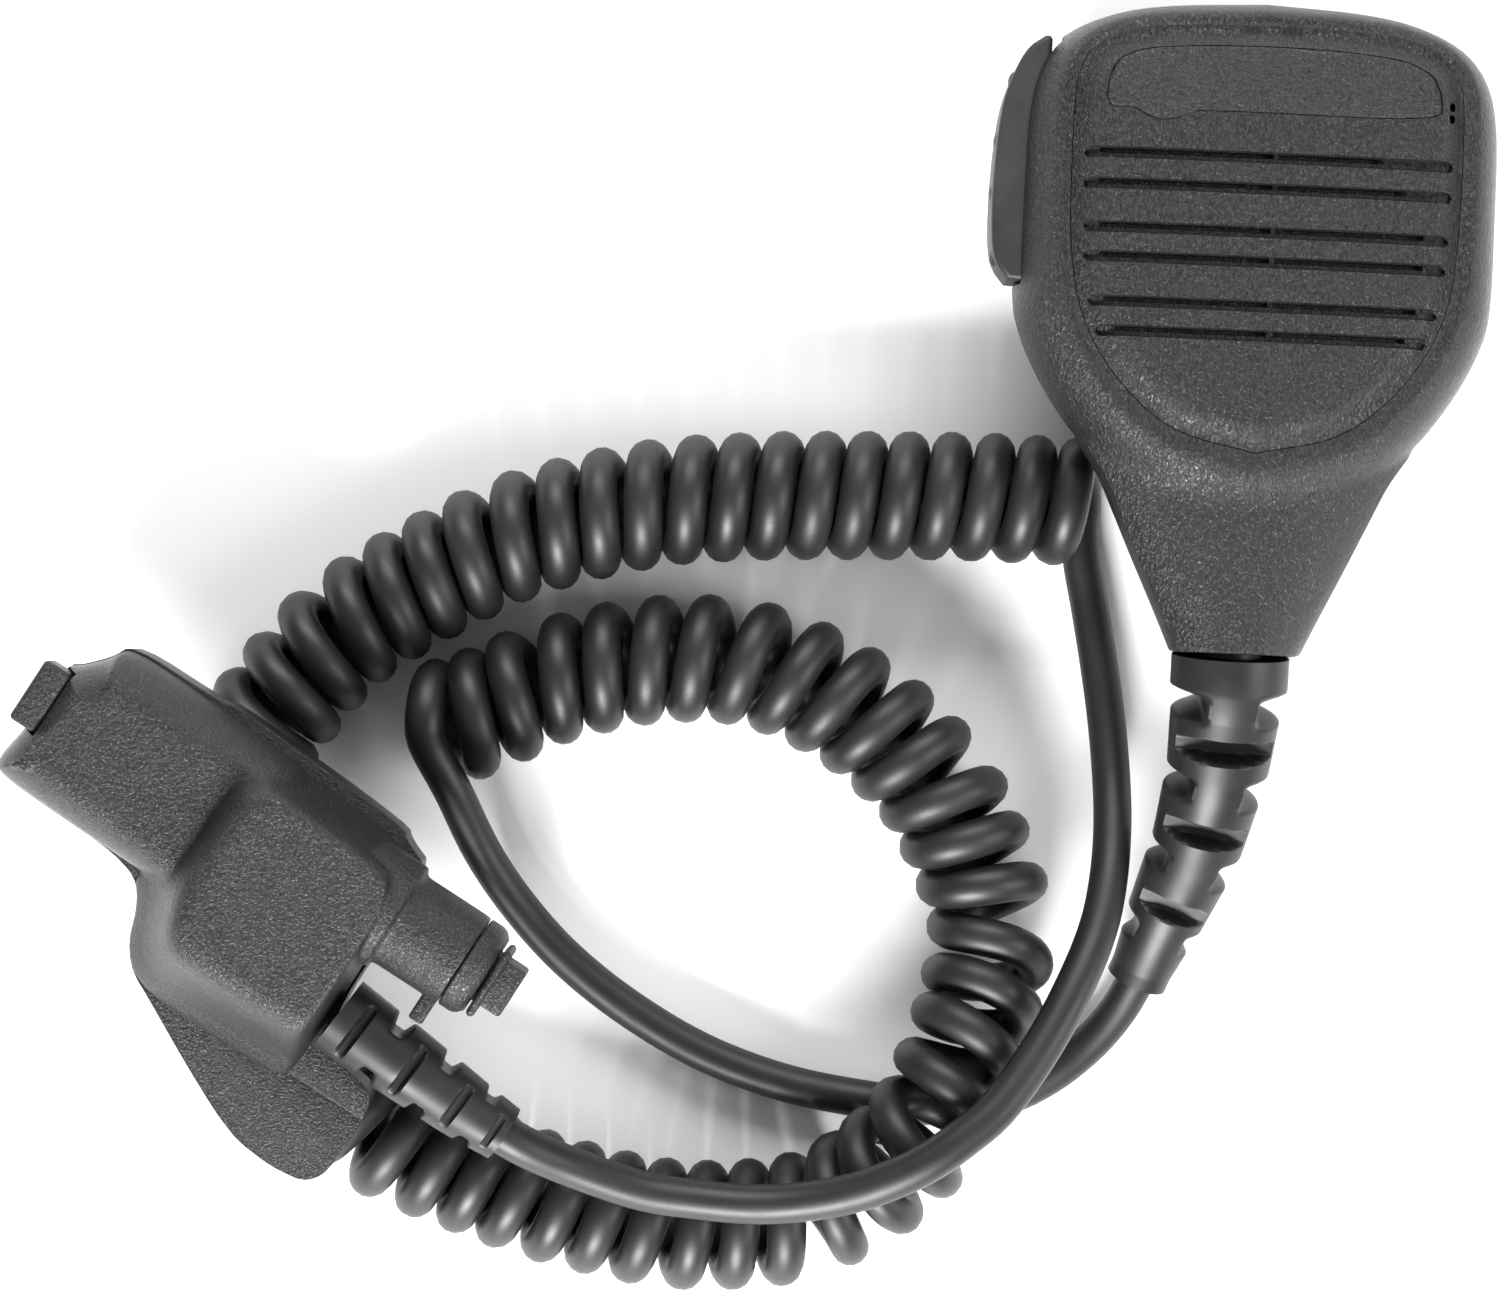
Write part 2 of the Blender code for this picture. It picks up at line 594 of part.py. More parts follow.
def make_clip():
    turned("clip_washer", [(5.0, 10.7), (5.0, 10.2), (1.9, 10.2), (1.9, 10.7)], STEEL, steps=20)
    screw = cylinder("clip_screw", 3.1, 1.2, (0, 0, 7.6), STEEL, sides=20)
    join(screw, cylinder("clip_screw_shank", 1.4, 8.6, (0, 0, 12.0), STEEL, sides=16))
    cut(screw, box("clip_screw_slot", (-2, -0.4, 6.5), (2, 0.4, 7.5), STEEL))

    base = cylinder("clip_base", 9.5, 3.0, (0, 0, 8.4), BLACK, sides=36)
    join(base, box("clip_tongue", (-8.2, 0, 6.9), (8.2, 14.0, 9.9), BLACK))
    for name, side in (("left", -1), ("right", 1)):
        inner, outer = sorted((side * 6.0, side * 8.2))
        join(base, box(f"clip_ear_{name}", (inner, 9.3, HINGE_Z), (outer, 13.7, 8.0), BLACK),
             cylinder(f"clip_ear_round_{name}", 2.2, 2.2, (side * 7.1, HINGE_Y, HINGE_Z), BLACK, "X"))
    cut(base, box("clip_lug_room", (-5.95, 5.0, 3.0), (5.95, 14.5, 7.8), BLACK),
        cylinder("clip_pin_bore", 1.5, 30, (0, HINGE_Y, HINGE_Z), BLACK, "X", sides=16),
        cylinder("clip_base_bore", 1.8, 10, (0, 0, 8.4), BLACK, sides=16),
        cylinder("clip_base_seat", 3.5, 3.2, (0, 0, 6.9), BLACK, sides=20))
    cylinder("clip_pin", 1.2, 18.0, (0, HINGE_Y, HINGE_Z), STEEL, "X", sides=16)
    turns = [(-1.8 + 3.0 * k / 36, HINGE_Y + 1.9 * math.sin(math.radians(30 * k)),
              HINGE_Z + 1.9 * math.cos(math.radians(30 * k))) for k in range(37)]
    tube("clip_spring", [*turns, (1.2, HINGE_Y - 3.0, HINGE_Z + 1.95), (1.2, HINGE_Y - 6.0, HINGE_Z + 1.95)],
         0.3, STEEL, resolution=1)

    half = smooth([(6.0, 24.0), (8.6, 22.6), (9.0, 18.0), (9.0, -20.0), (7.6, -26.2), (4.0, -27.0)], 4.0)
    outline = [*half, *[(-x, y) for x, y in reversed(half)]]
    arm = prism("clip_arm", outline, 0, ARM_THICK, BLACK)
    jaw = prism("clip_jaw", [(-4.2, -26.9), (-7.4, -26.0), (-8.2, -23.4), (8.2, -23.4), (7.4, -26.0),
                             (4.2, -26.9)], ARM_THICK - 1, 10.5, BLACK)
    join(arm, jaw)
    for name, side in (("left", -1), ("right", 1)):
        centre = (side * 4.2, HINGE_Y, HINGE_Z)
        join(arm, cylinder(f"clip_lug_{name}", 2.1, 2.9, centre, BLACK, "X", sides=20),
             box(f"clip_lug_foot_{name}", (side * 4.2 - 1.3, HINGE_Y - 1.8, 1.5),
                 (side * 4.2 + 1.3, HINGE_Y + 1.8, HINGE_Z), BLACK))
    for k in range(3):
        join(arm, box(f"thumb_rib_{k + 1}", (-6, 16.5 + 2.4 * k, 2.0), (6, 17.5 + 2.4 * k, 3.2), BLACK))
    for k in range(4):
        x = -6 + 4 * k
        cut(arm, box(f"jaw_gap_{k + 1}", (x - 0.9, -28, 9.2), (x + 0.9, -22, 11), BLACK))
    cut(arm, cylinder("clip_arm_bore", 1.5, 30, (0, HINGE_Y, HINGE_Z), BLACK, "X", sides=16),
        cylinder("clip_spring_room", 2.7, 5.2, (0, HINGE_Y, HINGE_Z), BLACK, "X", sides=20))


# ---------------------------------------------------------------- cord and mic strain relief

def make_mic_boot():
    route = [(0, -50.0, PART_Z), (0, -54.0, PART_Z), *MIC_BOOT]
    widths = [(0, 3.1), (3.8, 3.1), (3.85, 5.1), (5.2, 5.1), (5.25, 4.0), (7.9, 4.0), (7.95, 7.6),
              (12.3, 7.6), (12.4, 4.4), (15.2, 4.4), (15.3, 7.1), (23.3, 6.7), (23.4, 4.2), (26.7, 4.2),
              (26.8, 6.5), (35.0, 6.0), (35.1, 4.0), (38.1, 4.0), (38.2, 5.8), (46.2, 5.1), (46.3, 3.6),
              (49.9, 3.5), (50.0, 4.4), (53.4, 4.0), (60, 4.0)]
    boot("mic_strain_relief", route, widths, BOOT_RUBBER)
    clamp = box("cord_clamp", (-5.2, -53.3, 17.6), (5.2, -51.5, 25.4), BLACK, bevel=0.4)
    cut(clamp, cylinder("cord_clamp_hole", 3.4, 6, (0, -52.4, PART_Z), BLACK, "Y", sides=20))


def make_cord():
    tube("cord_mic_tail", through(MIC_TAIL, 9.0), CORD_R, CORD_JACKET)
    tube("cord_coil", through(COIL, 9.0), COIL_R, CORD_JACKET, resolution=4)
    tube("cord_plug_tail", through(PLUG_TAIL, 9.0), CORD_R, CORD_JACKET)


# ---------------------------------------------------------------- plug

UPPER_LOW = [(-34.0, -3.6), (-32.2, -5.4), (-16.0, -5.8), (-11.2, -7.0), (-8.8, -10.2), (-7.3, -14.6),
             (-5.0, -17.4), (-0.6, -19.1), (18.2, -18.9), (20.0, -17.2), (20.0, 14.6), (16.4, 15.3),
             (-11.0, 17.2), (-27.4, 17.6), (-28.8, 14.9), (-31.6, 12.0), (-33.0, 11.4), (-33.0, 2.2)]
BLOCK_LOW = [(-11.5, -6.4), (-8.8, -10.2), (-7.3, -14.6), (-5.0, -17.4), (-0.6, -19.0), (18.2, -18.8),
             (19.9, -17.0), (19.9, 14.4), (12.0, 15.7), (-11.0, 17.0)]
BLOCK_TOP = [(-3.6, -2.4), (-3.0, -4.8), (-2.0, -7.6), (-0.4, -9.4), (2.2, -10.4), (17.4, -10.4),
             (19.0, -9.4), (19.0, 12.0), (12.0, 13.2), (-3.6, 13.6)]
LOWER_EDGE = [(-34.0, -3.8), (-32.2, -5.6), (-16.0, -6.0), (-11.0, -7.2), (-8.6, -10.4), (-7.1, -14.8),
              (-4.8, -17.6), (-0.7, -19.6), (7.0, -23.6), (14.1, -27.0), (18.6, -28.6), (24.0, -29.0),
              (28.6, -28.4), (30.6, -25.8), (30.6, -15.5), (29.0, -13.5), (20.2, -12.8), (20.2, 14.2),
              (16.0, 15.8), (14.6, 17.1), (-12.0, 18.5), (-14.0, 17.8), (-27.6, 17.8), (-29.0, 15.0),
              (-31.8, 12.0), (-33.0, 11.4), (-33.0, 2.0)]
PLUG_SCREWS = [(-29.4, 5.0), (10.0, -13.6)]
CONTACT_ROOM = ((-24.0, 0.0), (6.0, 11.0))


def shaped(low, top, share):
    return [(ax + (bx - ax) * share, ay + (by - ay) * share) for (ax, ay), (bx, by) in zip(low, top)]


def make_upper_shell(frame):
    floor = PLUG_SPLIT_Z + GAP / 2
    nose_low = [p for p in UPPER_LOW if p[0] < -8.0]
    nose_low = [*nose_low[:3], (4.0, -5.8), (4.0, 16.6), *nose_low[-6:]]
    nose_low = [(x, y) for x, y in nose_low if not (x < -8 and -16 < y < -6.5)]
    nose_top = inset(nose_low[::-1], 4.2)[::-1]
    heights = ((floor, 0.0), (29.0, 0.08), (31.5, 0.3), (33.2, 0.65), (NOSE_TOP_Z, 1.0))
    nose = loft("plug_nose", [[(x, y, z) for x, y in shaped(nose_low, nose_top, s)] for z, s in heights],
                BLACK, frame)
    heights = ((floor, 0.0), (28.0, 0.16), (32.0, 0.42), (35.5, 0.66), (38.0, 0.85), (39.1, 0.95),
               (PLUG_TOP_Z, 1.05))
    shell = loft("plug_upper_shell",
                 [[(x, y, z) for x, y in shaped(BLOCK_LOW, BLOCK_TOP, s)] for z, s in heights], BLACK, frame)
    join(shell, nose,
         cylinder("plug_barrel", BARREL_R, 16.4, (22.4, BARREL_V, BARREL_Z), BLACK, "X", frame, 32),
         box("barrel_key_tab", (28.4, -2.4, 27.2), (30.4, 3.0, 29.6), BLACK, frame))
    cut(shell, box("block_room", (0.6, -7.6, 24.0), (17.0, 11.4, 36.6), BLACK, frame),
        box("nose_room", (-26.0, -1.4, 24.2), (1.6, 12.4, 31.2), BLACK, frame),
        cylinder("barrel_bore", 4.5, 26.0, (19.0, BARREL_V, BARREL_Z), BLACK, "X", frame, 24),
        box("hook_room", (-34.0, 3.0, 28.2), (-29.0, 10.6, 31.8), BLACK, frame))
    for i, (u, v) in enumerate(PLUG_SCREWS, 1):
        cut(shell, cylinder(f"upper_screw_bore_{i}", 1.2, 12.0, (u, v, 23.2), BLACK, parent=frame, sides=12))
    return shell


def make_lower_shell(frame):
    top = PLUG_SPLIT_Z - GAP / 2
    shell = prism("plug_lower_shell", LOWER_EDGE, PLUG_BASE_Z, top, BLACK, frame)
    (ua, va), (ub, vb) = CONTACT_ROOM
    cut(shell, box("lower_room", (-27.0, -2.6, 21.2), (16.0, 13.0, 26.0), BLACK, frame),
        box("contact_window", (ua, va, 16.0), (ub, vb, 22.0), BLACK, frame))
    for i, (u, v) in enumerate(PLUG_SCREWS, 1):
        cut(shell, cylinder(f"lower_screw_bore_{i}", 1.2, 12.0, (u, v, 21.0), BLACK, parent=frame, sides=12),
            cylinder(f"lower_screw_seat_{i}", 2.3, 3.0, (u, v, 18.3), BLACK, parent=frame, sides=16))
    return shell


def make_plug_insides(frame):
    (ua, va), (ub, vb) = CONTACT_ROOM
    block = box("plug_contact_block", (ua + GAP, va + GAP, 19.2), (ub - GAP, vb - GAP, 22.0), BRASS, frame)
    for row in range(2):
        for k in range(6):
            place = (ua + 3.2 + 4.7 * k, va + 3.3 + 4.4 * row, 18.8)
            pin = cylinder(f"contact_{row * 6 + k + 1}", 1.1, 1.2, place, BRASS, parent=frame, sides=12)
            join(block, pin)
    seal = box("plug_seal", (ua - 2, va - 2, 22.3), (ub + 2, vb + 1.6, 22.9), KEY_RUBBER, frame)
    cut(seal, box("plug_seal_window", (ua + 2, va + 2, 22.0), (ub - 2, vb - 2, 23.2), KEY_RUBBER, frame))
    box("plug_circuit_board", (-24.0, -2.0, 23.2), (14.0, 12.0, 24.2), BOARD, frame)
    for i, (u, v) in enumerate(PLUG_SCREWS, 1):
        screw = cylinder(f"plug_screw_{i}", 1.9, 1.2, (u, v, 18.9), STEEL, parent=frame, sides=16)
        join(screw, cylinder(f"plug_screw_shank_{i}", 0.9, 9.0, (u, v, 23.6), STEEL, parent=frame, sides=12))


def make_release(frame):
    """End cap, flange and the sprung button in the end of the barrel."""
    window = (34.0, BARREL_V, BARREL_Z)
    cap = cylinder("plug_end_cap", BARREL_R - 0.1, 3.1, (32.45, BARREL_V, BARREL_Z), BLACK, "X", frame, 32)
    soften(cap, 0.5)
    low = Vector(window) - Vector((6, 3.6, 3.6))
    high = Vector(window) + Vector((6, 3.6, 3.6))
    cut(cap, box("cap_window", low, high, BLACK, frame))
    flange = box("plug_latch_flange", (34.3, BARREL_V - 5.0, BARREL_Z - 5.0),
                 (35.4, BARREL_V + 4.6, BARREL_Z + 5.0), BLACK, frame, bevel=0.5)
    cut(flange, box("flange_window", low, high, BLACK, frame))
    button = box("plug_release_button", (31.0, BARREL_V - 3.3, BARREL_Z - 3.3),
                 (38.2, BARREL_V + 3.3, BARREL_Z + 3.3), BLACK, frame, bevel=0.4)
    join(button, cylinder("button_collar", 4.1, 1.6, (29.7, BARREL_V, BARREL_Z), BLACK, "X", frame, 24),
         cylinder("button_neck", 3.1, 2.6, (30.4, BARREL_V, BARREL_Z), BLACK, "X", frame, 16),
         cylinder("button_rod", 1.4, 20.0, (20.0, BARREL_V, BARREL_Z), BLACK, "X", frame, 16))
    turns = [(21.0 + 5.8 * k / 72, BARREL_V + 2.7 * math.cos(math.radians(30 * k)),
              BARREL_Z + 2.7 * math.sin(math.radians(30 * k))) for k in range(73)]
    tube("plug_release_spring", turns, 0.4, STEEL, frame, resolution=1)
    hook = box("plug_hook", (-34.6, 2.2, 27.4), (-33.4, 11.2, 32.6), BLACK, frame, bevel=0.4)
    join(hook, box("plug_hook_root", (-33.6, 3.4, 28.6), (-29.5, 10.2, 31.4), BLACK, frame))


def make_plug():
    frame = bpy.data.objects.new("plug_frame", None)
    PARTS.objects.link(frame)
    frame.location = (PLUG_PLACE[0] * MM, PLUG_PLACE[1] * MM, 0)
    frame.rotation_euler.z = PLUG_TURN
    make_upper_shell(frame)
    make_lower_shell(frame)
    make_plug_insides(frame)
    make_release(frame)
    widths = [(0, 5.2), (2.6, 5.2), (2.7, 3.9), (4.0, 3.9), (4.1, 5.1), (10.4, 4.9), (10.5, 3.6),
              (12.0, 3.6), (12.1, 4.7), (18.0, 4.4), (18.1, 3.3), (19.4, 3.3), (19.5, 4.2), (24.2, 3.9),
              (24.3, 3.1), (25.2, 3.1), (25.3, 3.8), (28, 3.7)]
    boot("plug_strain_relief", PLUG_BOOT, widths, BOOT_RUBBER, frame)


make_front_housing()
make_rear_housing()
make_housing_screws()
make_grille()
make_speaker()
make_microphone()
make_board()
make_talk_key()
make_clip()
make_mic_boot()
make_cord()
make_plug()
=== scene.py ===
"""Hand microphone with a curly cord and a side connector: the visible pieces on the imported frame.

Frame: +X to the right of the grille, +Y to the top of the head, +Z out of the grille.
The origin is on the resting face of the belt clip, on the clip's swivel axis.
Lengths are written in millimetres and turned into metres by MM.
"""
import math

import bmesh
import bpy
from mathutils import Matrix, Vector


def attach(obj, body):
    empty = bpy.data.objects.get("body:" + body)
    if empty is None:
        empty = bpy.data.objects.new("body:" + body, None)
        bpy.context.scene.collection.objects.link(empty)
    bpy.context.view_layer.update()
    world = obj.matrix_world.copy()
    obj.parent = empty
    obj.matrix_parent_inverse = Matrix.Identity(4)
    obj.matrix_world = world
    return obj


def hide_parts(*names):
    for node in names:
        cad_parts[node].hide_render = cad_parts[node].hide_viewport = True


bl_info = {
    "name": "Hand Microphone",
    "version": (1, 0, 0),
    "blender": (4, 5, 0),
    "location": "View3D > Sidebar > Microphone",
    "description": "Builds a hand microphone with a coiled cord and a side connector",
    "category": "Add Mesh",
}

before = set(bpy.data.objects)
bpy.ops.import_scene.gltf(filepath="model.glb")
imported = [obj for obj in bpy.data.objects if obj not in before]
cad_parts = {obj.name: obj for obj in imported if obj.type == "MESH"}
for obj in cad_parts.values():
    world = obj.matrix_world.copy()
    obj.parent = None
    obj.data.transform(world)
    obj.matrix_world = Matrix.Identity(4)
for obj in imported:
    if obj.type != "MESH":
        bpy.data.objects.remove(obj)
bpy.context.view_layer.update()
MM = 0.001

# head and neck, shared with the frame
BACK_Z = 11.0
PART_Z = 21.5
FRONT_RISE = 11.5
CROWN = 1.4
WALL = 2.0
GAP = 0.3
NECK_END_Y = -57.6
HEAD_CENTRE = (0.0, -5.0)
HEAD_SIDE = [(0, 26.6), (12, 25.9), (19.5, 24.5), (25.6, 21.6), (29.1, 17.3), (30.6, 11), (30.9, 0),
             (30.8, -12), (29.5, -17.6), (26.6, -23.4), (22.4, -29.3)]
NECK_SIDE = [(18.6, -34.6), (16.2, -39.6), (13.6, -45.4), (11.2, -50.6), (9.3, -54.8), (8.2, NECK_END_Y)]
HEAD_FOOT = [(17.4, -34.0), (10.2, -37.9), (0, -39.6)]
PANEL_SIDE = [(0, 22.4), (9, 22.2), (17, 21.5), (21.7, 19.5), (24.2, 15.8), (24.8, 9), (24.5, -6),
              (22.6, -15.5), (17.8, -23.4), (10.4, -29.4), (0, -32.1)]
SLOTS = [(5.1, 23.4), (1.2, 23.4), (-4.3, 23.1), (-8.05, 22.9), (-13.65, 22.1), (-17.35, 21.0)]
SCREWS = [(15.5, 20.2), (-15.5, 20.2), (18.4, -26.4), (-18.4, -26.4)]
MIC_PORT = (22.9, 12.0)
LABEL_FIELD = [(-20.9, 10.9), (-20.7, 14.6), (-19.6, 17.0), (-16.4, 18.5), (-9, 19.1), (0, 19.3), (9, 19.1),
               (16.8, 18.3), (20.2, 16.6), (21.3, 14.2), (21.5, 10.7), (-9.8, 10.9), (-11.0, 10.2),
               (-12.6, 9.5), (-14.6, 9.5), (-16.4, 10.3), (-17.4, 10.9)]

# talk key
KEY_BACK_X = -27.4
KEY_LOW_Z = 17.2
KEY_HIGH_Z = 26.2
KEY_SIDE = [(-28.3, 20.9), (-30.4, 19.3), (-32.1, 16.2), (-33.5, 11.5), (-34.2, 3.5), (-34.2, -4.5),
            (-33.5, -8.3), (-31.8, -10.6)]

# cord routes, shared with the frame
CORD_R = 2.6
MIC_BOOT = [(-0.4, -57.9, 21.5), (-0.4, -62.0, 21.0), (-0.6, -66.0, 19.8), (-0.9, -72.4, 17.6),
            (-1.5, -76.5, 15.9), (-2.7, -83.3, 13.2), (-3.9, -87.0, 11.6), (-6.2, -94.0, 8.7),
            (-7.6, -98.2, 7.1), (-8.8, -101.6, 6.0)]
MIC_TAIL = [(-9.0, -102.1, 5.8), (-11.2, -106.6, 4.3), (-15.0, -111.5, 3.1), (-20.2, -115.9, 2.7),
            (-26.1, -118.8, 2.65), (-35.6, -120.4, 2.65), (-45.1, -119.8, 2.65), (-56.0, -118.0, 2.65),
            (-67.1, -114.3, 2.65), (-77.6, -108.6, 2.65), (-86.2, -102.2, 2.8), (-92.8, -95.2, 4.0),
            (-97.5, -88.3, 6.8), (-101.4, -80.3, 10.8), (-104.7, -74.3, 13.5), (-106.6, -70.0, 14.6),
            (-107.6, -67.1, 14.8)]
COIL = [(-101.4, -70.9, 8.75), (-95.0, -68.0, 8.75), (-88.3, -64.9, 8.75), (-75.6, -61.7, 8.75),
        (-62.0, -61.7, 8.75), (-49.0, -66.8, 8.75), (-38.3, -75.5, 8.75), (-32.6, -84.4, 8.75),
        (-29.4, -92.5, 8.75), (-28.9, -98.0, 9.1), (-30.1, -105.4, 11.6), (-32.0, -111.3, 13.7),
        (-34.8, -118.6, 14.8), (-38.7, -124.4, 13.6), (-43.4, -129.5, 11.0), (-48.6, -133.2, 9.2),
        (-55.4, -135.8, 8.75), (-68.7, -136.9, 8.75), (-81.3, -135.2, 8.75), (-93.2, -132.1, 8.75),
        (-110.6, -125.5, 8.75), (-123.1, -114.7, 8.75), (-129.4, -102.9, 8.75), (-130.6, -89.5, 8.75),
        (-128.4, -76.0, 8.75), (-123.9, -68.0, 8.75), (-115.6, -58.6, 8.75), (-98.6, -47.9, 8.75),
        (-86.8, -43.4, 8.75), (-75.3, -40.6, 8.75), (-63.7, -39.3, 8.75), (-51.7, -38.6, 8.75),
        (-35.6, -38.0, 8.75), (-22.0, -38.0, 8.75)]
PLUG_TAIL = [(-18.9, -38.0, 2.65), (-18.8, -41.5, 2.65), (-18.3, -46.1, 2.65), (-17.2, -51.0, 2.7),
             (-15.6, -59.0, 3.4), (-14.3, -67.0, 4.8), (-13.5, -75.0, 7.0), (-13.4, -81.6, 10.0),
             (-14.0, -88.2, 13.2), (-15.4, -94.4, 16.2), (-18.4, -101.5, 19.8), (-22.6, -109.4, 22.6),
             (-27.9, -117.0, 24.9), (-32.2, -121.0, 25.6), (-36.7, -124.5, 25.5), (-41.6, -127.3, 24.6),
             (-46.7, -129.5, 23.1), (-53.0, -131.1, 21.5), (-59.3, -131.8, 20.6), (-66.7, -131.5, 20.4),
             (-73.9, -130.6, 20.9), (-83.2, -127.5, 23.0), (-90.6, -123.8, 25.7)]

# plug, in its own frame: u along the barrel to its button, v to the side of the barrel
PLUG_PLACE = (-127.5, -92.0)
PLUG_TURN = math.radians(-30.4)
PLUG_BASE_Z = 17.9
PLUG_SPLIT_Z = 24.6
PLUG_TOP_Z = 39.5
NOSE_TOP_Z = 34.0
BARREL_V = 7.8
BARREL_Z = 31.5
BARREL_R = 6.4
PLUG_BOOT = [(20.7, -7.1, 27.6), (27.0, -7.6, 27.4), (34.0, -8.1, 27.0), (41.0, -8.6, 26.4),
             (46.8, -8.8, 25.8)]


# ---------------------------------------------------------------- what a user may change

def millimetres(name, description, default, low=0.01, high=500.0):
    return bpy.props.FloatProperty(name=name, description=description, default=default * MM, min=low * MM,
                                   max=high * MM, unit="LENGTH", precision=4)


def colour(name, description, default):
    return bpy.props.FloatVectorProperty(name=name, description=description, default=default, size=3,
                                         subtype="COLOR", min=0.0, max=1.0)


def share(name, description, default):
    return bpy.props.FloatProperty(name=name, description=description, default=default, min=0.0, max=1.0,
                                   subtype="FACTOR")


class MIC_head_settings(bpy.types.PropertyGroup):
    valley: millimetres("Valley", "Depth of the valley round the grille panel", 1.25)
    valley_inside: millimetres("Panel border", "Width of the slanted border of the grille panel", 3.3)
    valley_outside: millimetres("Bezel slope", "Width of the bezel's inner slope", 2.1)
    slot_width: millimetres("Slot width", "Width of a grille channel", 1.45)
    slot_depth: millimetres("Slot depth", "Depth of a grille channel", 0.8)
    slit_width: millimetres("Slit width", "Width of the sound slit in a channel", 0.5)
    bump_radius: millimetres("Key bump", "Radius of a grip bump on the talk key", 0.9)


class MIC_cord_settings(bpy.types.PropertyGroup):
    length: bpy.props.FloatProperty(name="Cord length", default=2.69,
                                    description="Length of the cord along its centre line",
                                    min=0.5, max=6.0, unit="LENGTH")
    diameter: millimetres("Cord diameter", "Outside diameter of the cord", 5.2)
    helix_radius: millimetres("Coil radius", "Radius of the helix that the cord's centre follows", 6.1)
    pitch: millimetres("Coil pitch", "Distance between turns where the coil is straight", 5.56)


class MIC_finish_settings(bpy.types.PropertyGroup):
    plastic: colour("Plastic", "Colour of the pebbled housing plastic", (0.012, 0.012, 0.0125))
    rubber: colour("Rubber", "Colour of the talk key", (0.020, 0.020, 0.0205))
    jacket: colour("Cord jacket", "Colour of the cord", (0.007, 0.007, 0.0075))
    boot: colour("Strain relief", "Colour of the two strain reliefs", (0.010, 0.010, 0.0105))
    grain: share("Grain", "Strength of the pebbled grain", 0.9)


class MIC_stage_settings(bpy.types.PropertyGroup):
    camera_height: millimetres("Camera height", "Height of the camera over the floor", 450.0, 100, 2000)
    focal_length: bpy.props.FloatProperty(name="Focal length", description="Camera lens in millimetres",
                                          default=79.2, min=20, max=200)
    floor: colour("Floor", "Colour of the floor", (0.93, 0.93, 0.93))
    key_power: bpy.props.FloatProperty(name="Key light", description="Power of the large key light in watts",
                                       default=14.0, min=0.0, max=200.0, unit="POWER")


# ---------------------------------------------------------------- curves and outlines

def through(points, spacing):
    """Points at an even spacing along the smooth curve that runs through the given ones."""
    route = [Vector(p) for p in points]
    route = [2 * route[0] - route[1], *route, 2 * route[-1] - route[-2]]
    fine = []
    for a, b, c, d in zip(route, route[1:], route[2:], route[3:]):
        for k in range(12):
            t = k / 12
            fine.append(0.5 * (2 * b + (c - a) * t + (2 * a - 5 * b + 4 * c - d) * t ** 2
                               + (3 * b - a - 3 * c + d) * t ** 3))
    fine.append(route[-2].copy())
    reach = [0.0]
    for a, b in zip(fine, fine[1:]):
        reach.append(reach[-1] + (b - a).length)
    count = max(2, round(reach[-1] / spacing))
    even = []
    i = 0
    for k in range(count + 1):
        wanted = reach[-1] * k / count
        while i < len(fine) - 2 and reach[i + 1] < wanted:
            i += 1
        part = (wanted - reach[i]) / max(reach[i + 1] - reach[i], 1e-9)
        even.append(fine[i].lerp(fine[i + 1], min(max(part, 0.0), 1.0)))
    return even


def mirrored(half):
    """A closed outline from the points of its right side, both ends on the centre line."""
    return [*half, *[(-x, y) for x, y in reversed(half) if x > 0]]


def smooth(points, spacing=1.0):
    return [(p.x, p.y) for p in through([(x, y, 0) for x, y in points], spacing)]


def rounded(outline, times=2):
    """A closed outline with its corners cut again and again, which rounds them."""
    for _ in range(times):
        cut = []
        for (ax, ay), (bx, by) in zip(outline, [*outline[1:], outline[0]]):
            cut.append((0.8 * ax + 0.2 * bx, 0.8 * ay + 0.2 * by))
            cut.append((0.2 * ax + 0.8 * bx, 0.2 * ay + 0.8 * by))
        outline = cut
    return outline


def inset(outline, distance):
    """An outline moved inwards; its points run clockwise seen from +Z."""
    moved = []
    for i, (x, y) in enumerate(outline):
        ax, ay = outline[i - 1]
        bx, by = outline[(i + 1) % len(outline)]
        along = Vector((bx - ax, by - ay)).normalized()
        moved.append((x + along.y * distance, y - along.x * distance))
    return moved


def edge_distance(x, y, outline):
    """Distance to an outline, positive inside it."""
    nearest = 1e9
    inside = False
    ax, ay = outline[-1]
    for bx, by in outline:
        dx, dy = bx - ax, by - ay
        t = ((x - ax) * dx + (y - ay) * dy) / max(dx * dx + dy * dy, 1e-9)
        t = 0.0 if t < 0 else 1.0 if t > 1 else t
        nearest = min(nearest, (x - ax - t * dx) ** 2 + (y - ay - t * dy) ** 2)
        if (ay > y) != (by > y) and x < ax + (y - ay) / (by - ay) * dx:
            inside = not inside
        ax, ay = bx, by
    nearest = math.sqrt(nearest)
    return nearest if inside else -nearest


def ray_to(outline, angle):
    """Where a ray from the head's centre leaves an outline."""
    cx, cy = HEAD_CENTRE
    ux, uy = math.cos(angle), math.sin(angle)
    best = 0.0
    for (ax, ay), (bx, by) in zip(outline, [*outline[1:], outline[0]]):
        dx, dy = bx - ax, by - ay
        across = ux * dy - uy * dx
        if abs(across) < 1e-9:
            continue
        t = ((ax - cx) * dy - (ay - cy) * dx) / across
        s = ((ax - cx) * uy - (ay - cy) * ux) / across
        if -1e-6 <= s <= 1 + 1e-6:
            best = max(best, t)
    return cx + best * ux, cy + best * uy


def ramp(value, low, high):
    """0 below low, 1 above high, smooth in between."""
    t = min(max((value - low) / (high - low), 0.0), 1.0)
    return t * t * (3 - 2 * t)


